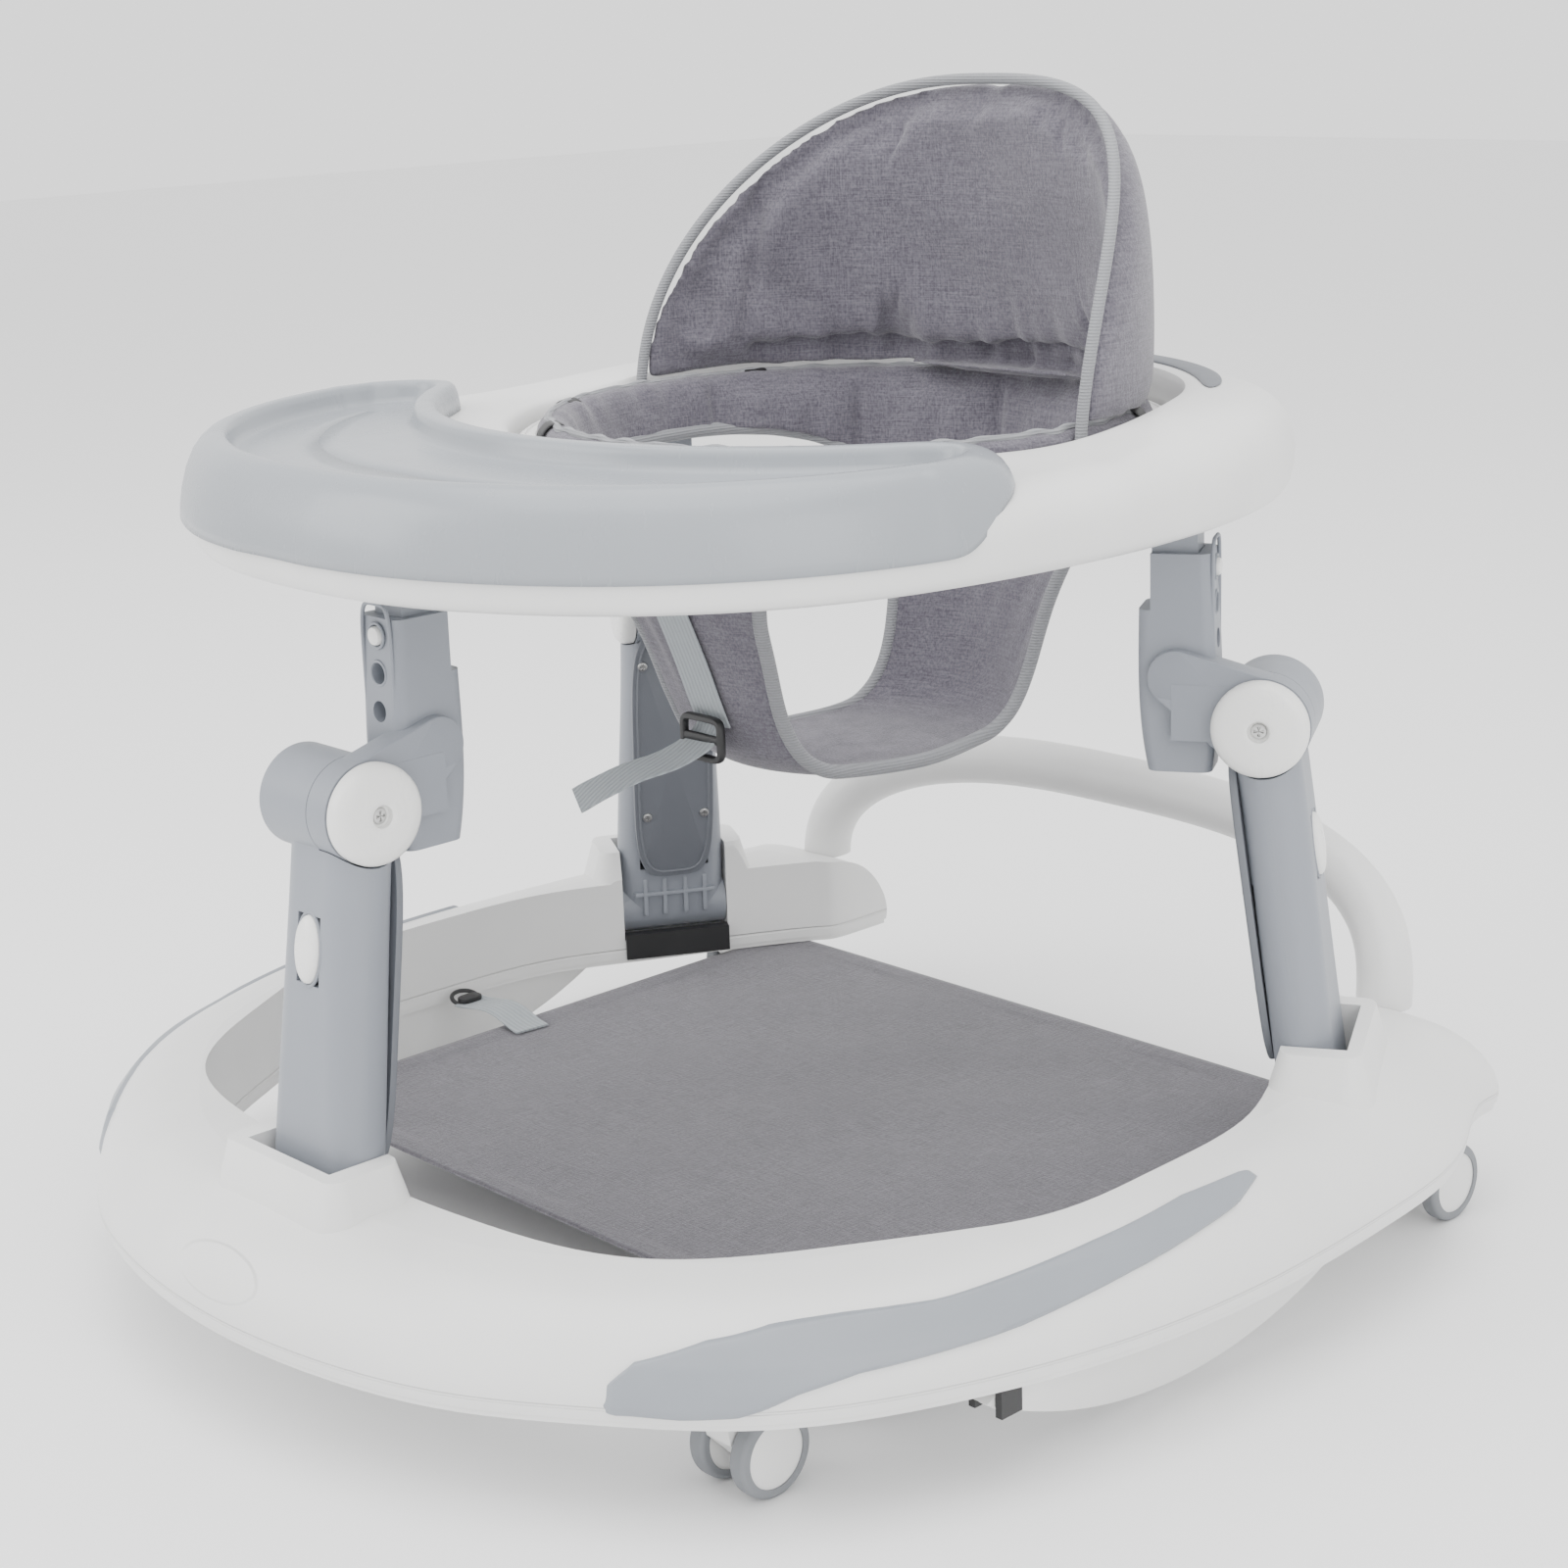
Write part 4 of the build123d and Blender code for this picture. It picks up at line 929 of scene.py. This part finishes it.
# ------------------------------------------------------------------ legs
def screw_mesh(origin, normal, across, radius=3.6):
    """Pan-head screw: domed head with a cross cut as four sunken petals."""
    turn = full_turn(48)
    rings = ((radius, -1.0), (radius, 0.5), (radius * 0.9, 1.0), (radius * 0.62, 1.25), (radius * 0.55, 1.25),
             (radius * 0.45, 1.2),
             (radius * 0.2, 1.2), (radius * 0.03, 1.2))
    normal, across = np.asarray(normal, float), np.asarray(across, float)
    third = np.cross(normal, across)
    rows = []
    for r, h in rings:
        cut = -0.9 * eased(np.abs(np.cos(2 * turn)), 0.80, 0.93) * (r < radius * 0.58)
        flat = r * (np.cos(turn)[:, None] * across + np.sin(turn)[:, None] * third)
        rows.append(np.asarray(origin) + flat + (h + cut)[:, None] * normal)
    return sheet_mesh("screw", np.array(rows), wrap_v=True, caps=True)


hub_radius, tip_radius = 25.9, 15.0
for name in legs:
    outward, hinge, rising = leg_axes(name)
    side = cap_side[name]
    facing = hinge * side
    knee = leg_spot(name, knee_out, 0, knee_z)

    cap_profile = ((24.4, 22.4), (25.4, 23.0), (25.6, 25.0), (25.5, 28.5), (24.6, 31.2), (22.4, 32.9),
                   (18, 33.7),
                   (9, 34.0), (6.4, 34.0), (5.8, 33.6), (5.6, 30.4), (5.0, 30.0), (0.5, 30.0))
    cap = turned("cap", cap_profile, knee, outward, facing, 72)
    cap = settle("hub_cap_" + name, cap, bright, "upper_leg_" + name)
    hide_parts("knee_cap_" + name)
    screw = joined("screw", [screw_mesh(knee + facing * 30.2, facing, outward, 4.2)])
    settle("hub_screw_" + name, screw, steel, "upper_leg_" + name)

    rays = np.column_stack((np.cos(full_turn(72)), np.sin(full_turn(72))))
    far = np.array((-45.0, 24.0))
    belt = np.where((rays @ far + tip_radius >= hub_radius)[:, None], far + tip_radius * rays,
                    hub_radius * rays)
    low, high = (6.8, 21.8) if side > 0 else (-21.8, -6.8)
    arm = plate_mesh("arm", belt, knee, outward, rising, -high, -low, 1.4)
    arm = settle("knee_arm_" + name, arm, leg_blue, "upper_leg_" + name)

    lean = np.array((knee_out - foot_out, knee_z - foot_z)) / np.hypot(foot_out - knee_out, knee_z - foot_z)
    up_leg = outward * lean[0] + rising * lean[1]
    out_leg = outward * lean[1] - rising * lean[0]
    button_at = leg_spot(name, foot_out - 0.68 * (foot_out - knee_out) + 16.6, 0, 232)
    button_profile = ((9.2, -4), (9.2, 0.5), (8.9, 2.2), (8.0, 3.6), (6.2, 4.7), (3.4, 5.3), (0.4, 5.5))
    button = turned("button", button_profile, button_at, up_leg, out_leg, 64, 1.9)
    button = settle("oval_button_" + name, button, bright, "fold_button_" + name)
    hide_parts("fold_button_" + name)
    collar_turn = full_turn(72)
    collar_path = (button_at + (18.6 * np.cos(collar_turn))[:, None] * up_leg
                   + (10.2 * np.sin(collar_turn))[:, None] * hinge + out_leg * 0.4)
    collar = rod("collar", collar_path, round_profile(1.0, 10), out_leg, closed=True)
    settle("button_collar_" + name, collar, leg_blue, "lower_leg_" + name)

    pin_at = leg_spot(name, pivot_out + 20, 0, 380)
    pin = turned("pin", ((4.7, -8), (4.7, 1.2), (4.3, 2.2), (3.0, 2.9), (0.3, 3.1)), pin_at, rising, outward,
                 40)
    pin = settle("round_button_" + name, pin, bright, "height_button_" + name)
    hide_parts("height_button_" + name)
    rims = []
    for count in range(3):
        ring_turn = full_turn(48)
        spot = leg_spot(name, pivot_out + 20.2, 0, 380 - 19 * count)
        path = spot + (6.2 * np.cos(ring_turn))[:, None] * rising + (6.2 * np.sin(ring_turn))[:, None] * hinge
        rims.append(rod("rim", path, round_profile(0.8, 8), outward, closed=True))
    track = blunt_profile(35, 11.5, 5, 96)
    path = leg_spot(name, pivot_out + 20.0, 0, 361) + track[:, :1] * rising + track[:, 1:] * hinge
    rims.append(rod("track", path, round_profile(1.1, 10), outward, closed=True))
    rims = settle("hole_rims_" + name, joined("rims", rims), leg_blue, "upper_leg_" + name)

    cover_line = blunt_profile(86, 26.5, 4.5, 96)
    inner = leg_spot(name, foot_out - 0.52 * (foot_out - knee_out) - 18.6, 0, 198)
    cover = [plate_mesh("cover", cover_line, inner, up_leg, -hinge, -1.6, 2.2, 1.0)]
    rim_path = inner + cover_line[:, :1] * 0.955 * up_leg - cover_line[:, 1:] * 0.87 * hinge - out_leg * 1.6
    cover.append(rod("lip", rim_path, round_profile(0.9, 8), out_leg, closed=True))
    cover = settle("inner_cover_" + name, joined("cover", cover), cover_grey, "lower_leg_" + name)
    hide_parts("leg_cover_" + name)
    heads = [screw_mesh(inner + up_leg * a + hinge * b - out_leg * 1.6, -out_leg, hinge, 3.2)
             for a, b in ((64, 19), (12, -20), (-42, -20), (-42, 18))]
    heads = settle("cover_screws_" + name, joined("heads", heads), steel, "lower_leg_" + name)
    ribs = []
    for step in (-20, -7, 7, 20):
        base = leg_spot(name, foot_out - 17.5, step, 98)
        ribs.append(plate_mesh("rib", blunt_profile(2.6, 13, 6), base, outward, rising, -1.3, 1.3, 0.5))
    bar_path = np.array([leg_spot(name, foot_out - 18.2, s, 100) for s in np.linspace(-27, 27, 10)])
    ribs.append(rod("rib_bar", bar_path, blunt_profile(2.2, 1.4, 4, 12)))
    ribs = settle("foot_ribs_" + name, joined("ribs", ribs), leg_blue, "lower_leg_" + name)


# ------------------------------------------------------------------ base inlays and emblem hollow
base_shape = [(0.0, -1.0), (0.24, -0.975), (0.43, -0.915), (0.60, -0.81), (0.76, -0.68), (0.90, -0.44),
              (0.98, -0.16),
              (1.0, 0.12), (0.985, 0.38), (0.925, 0.66)]
base_unit = smooth_line(base_shape, 900)
base_half_width, base_half_depth = 356, 352
shell_mesh = nodes["base_shell"].data
shell_tree = BVHTree.FromPolygons([tuple(v.co) for v in shell_mesh.vertices],
                                  [tuple(p.vertices) for p in shell_mesh.polygons])
probe_reach = 12.0


def shell_rise(grid, normal):
    """How far in mm the base shell stands out past each point, widened, then averaged over neighbours."""
    rise = np.zeros(grid.shape[:2])
    for i, j in np.ndindex(*rise.shape):
        start, way = (grid[i, j] + normal[i, j] * probe_reach) / 1000, -normal[i, j]
        distance = shell_tree.ray_cast(start.tolist(), way.tolist(), 2 * probe_reach / 1000)[3]
        if distance is not None:
            rise[i, j] = max(probe_reach - distance * 1000, 0)
    for _ in range(2):
        rise = np.maximum.reduce([rise] + [np.roll(rise, step, axis) for step in (-1, 1) for axis in (0, 1)])
    for _ in range(4):
        rise = (rise + sum(np.roll(rise, step, axis) for step in (-1, 1) for axis in (0, 1))) / 5
    return rise


def inlay_surface(side):
    """Band on the bumper between two height curves of y: 1.9 mm proud, its edges below the face."""
    edge_y = base_unit[:, 1] * base_half_depth
    along = base_unit[(edge_y > -283) & (edge_y < 61)][::3]
    y = along[:, 1] * base_half_depth
    low_z = np.interp(y, (-283, -262, -244, -222, -198, -142, -58, 14, 46, 61),
                      (61, 59, 60, 69, 75, 80, 89, 96, 100, 102))
    high_z = np.interp(y, (-283, -274, -254, -231, -200, -160, -69, 0, 46, 61),
                       (72, 85, 94, 98, 98.5, 98.5, 102.5, 105, 104, 102.6))
    across = np.linspace(0, 1, 26)
    height = low_z[:, None] + (high_z - low_z)[:, None] * across
    inset = np.interp(height, (57, 65, 82, 98, 107.5, 110), (1, 0, 6, 20, 42, 58))
    x = along[:, :1] * (base_half_width - inset) * side
    y = along[:, 1:] * (base_half_depth - inset)
    grid = np.stack((x, y, height), -1)
    normal = np.cross(np.gradient(grid, axis=0), np.gradient(grid, axis=1))
    normal /= np.linalg.norm(normal, axis=-1)[..., None]
    normal *= np.sign(normal[..., 0] * side)[..., None]
    ends = np.minimum(eased(np.arange(len(along)), 0, 3), eased(len(along) - 1 - np.arange(len(along)), 0, 3))
    proud = -1.6 + 3.5 * (np.minimum(eased(across, 0, 0.09), eased(1 - across, 0, 0.09)) * ends[:, None])
    return sheet_mesh("inlay", grid + normal * (proud + shell_rise(grid, normal))[..., None])


for side, name in ((1, "left"), (-1, "right")):
    inlay = settle("inlay_" + name, inlay_surface(side), panel_grey, "base", 60)
    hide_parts("side_panel_" + name)

shell_finish = Finish("base_white", (0.78, 0.78, 0.77), IOR=1.48, Coat_Roughness=0.2)
cloud = shell_finish.grain(shell_finish.place(), 9.0, 3.0)
scuff = shell_finish.grain(shell_finish.across((1, 1, 0.35)), 55.0, 4.0, 0.65)
split_x, split_y, split_z = (shell_finish.node("ShaderNodeSeparateXYZ", None, {0: shell_finish.place()}, part)
                             for part in range(3))
oval = (split_x / 0.034) ** 2 + ((split_z - 0.083) / 0.0115) ** 2
hollow = (1 - oval.between(0.82, 1.05)) * (1 - split_y.between(-0.31, -0.30))
rim_line = (1 - (abs(split_z - 0.0632) * 900).between(0.2, 1.0))
# darker towards the bottom of the shell, below about z 57 to 75 mm, broken up by the scuff noise
darker_low_band = 1 - split_z.between(0.057, 0.075)
tint = shell_finish.mix((cloud.between(0.35, 0.7) * 0.5 + darker_low_band * 0.35 * scuff).least(1),
                        (0.78, 0.78, 0.77), (0.70, 0.70, 0.69))
base_white = shell_finish.wear(Base_Color=tint, Roughness=0.36 + (scuff - 0.5) * 0.16,
                               Normal=shell_finish.raised(1 - hollow * 0.5 - rim_line * 0.35, 0.002))
nodes["base_shell"].data.materials[0] = base_white

low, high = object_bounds()
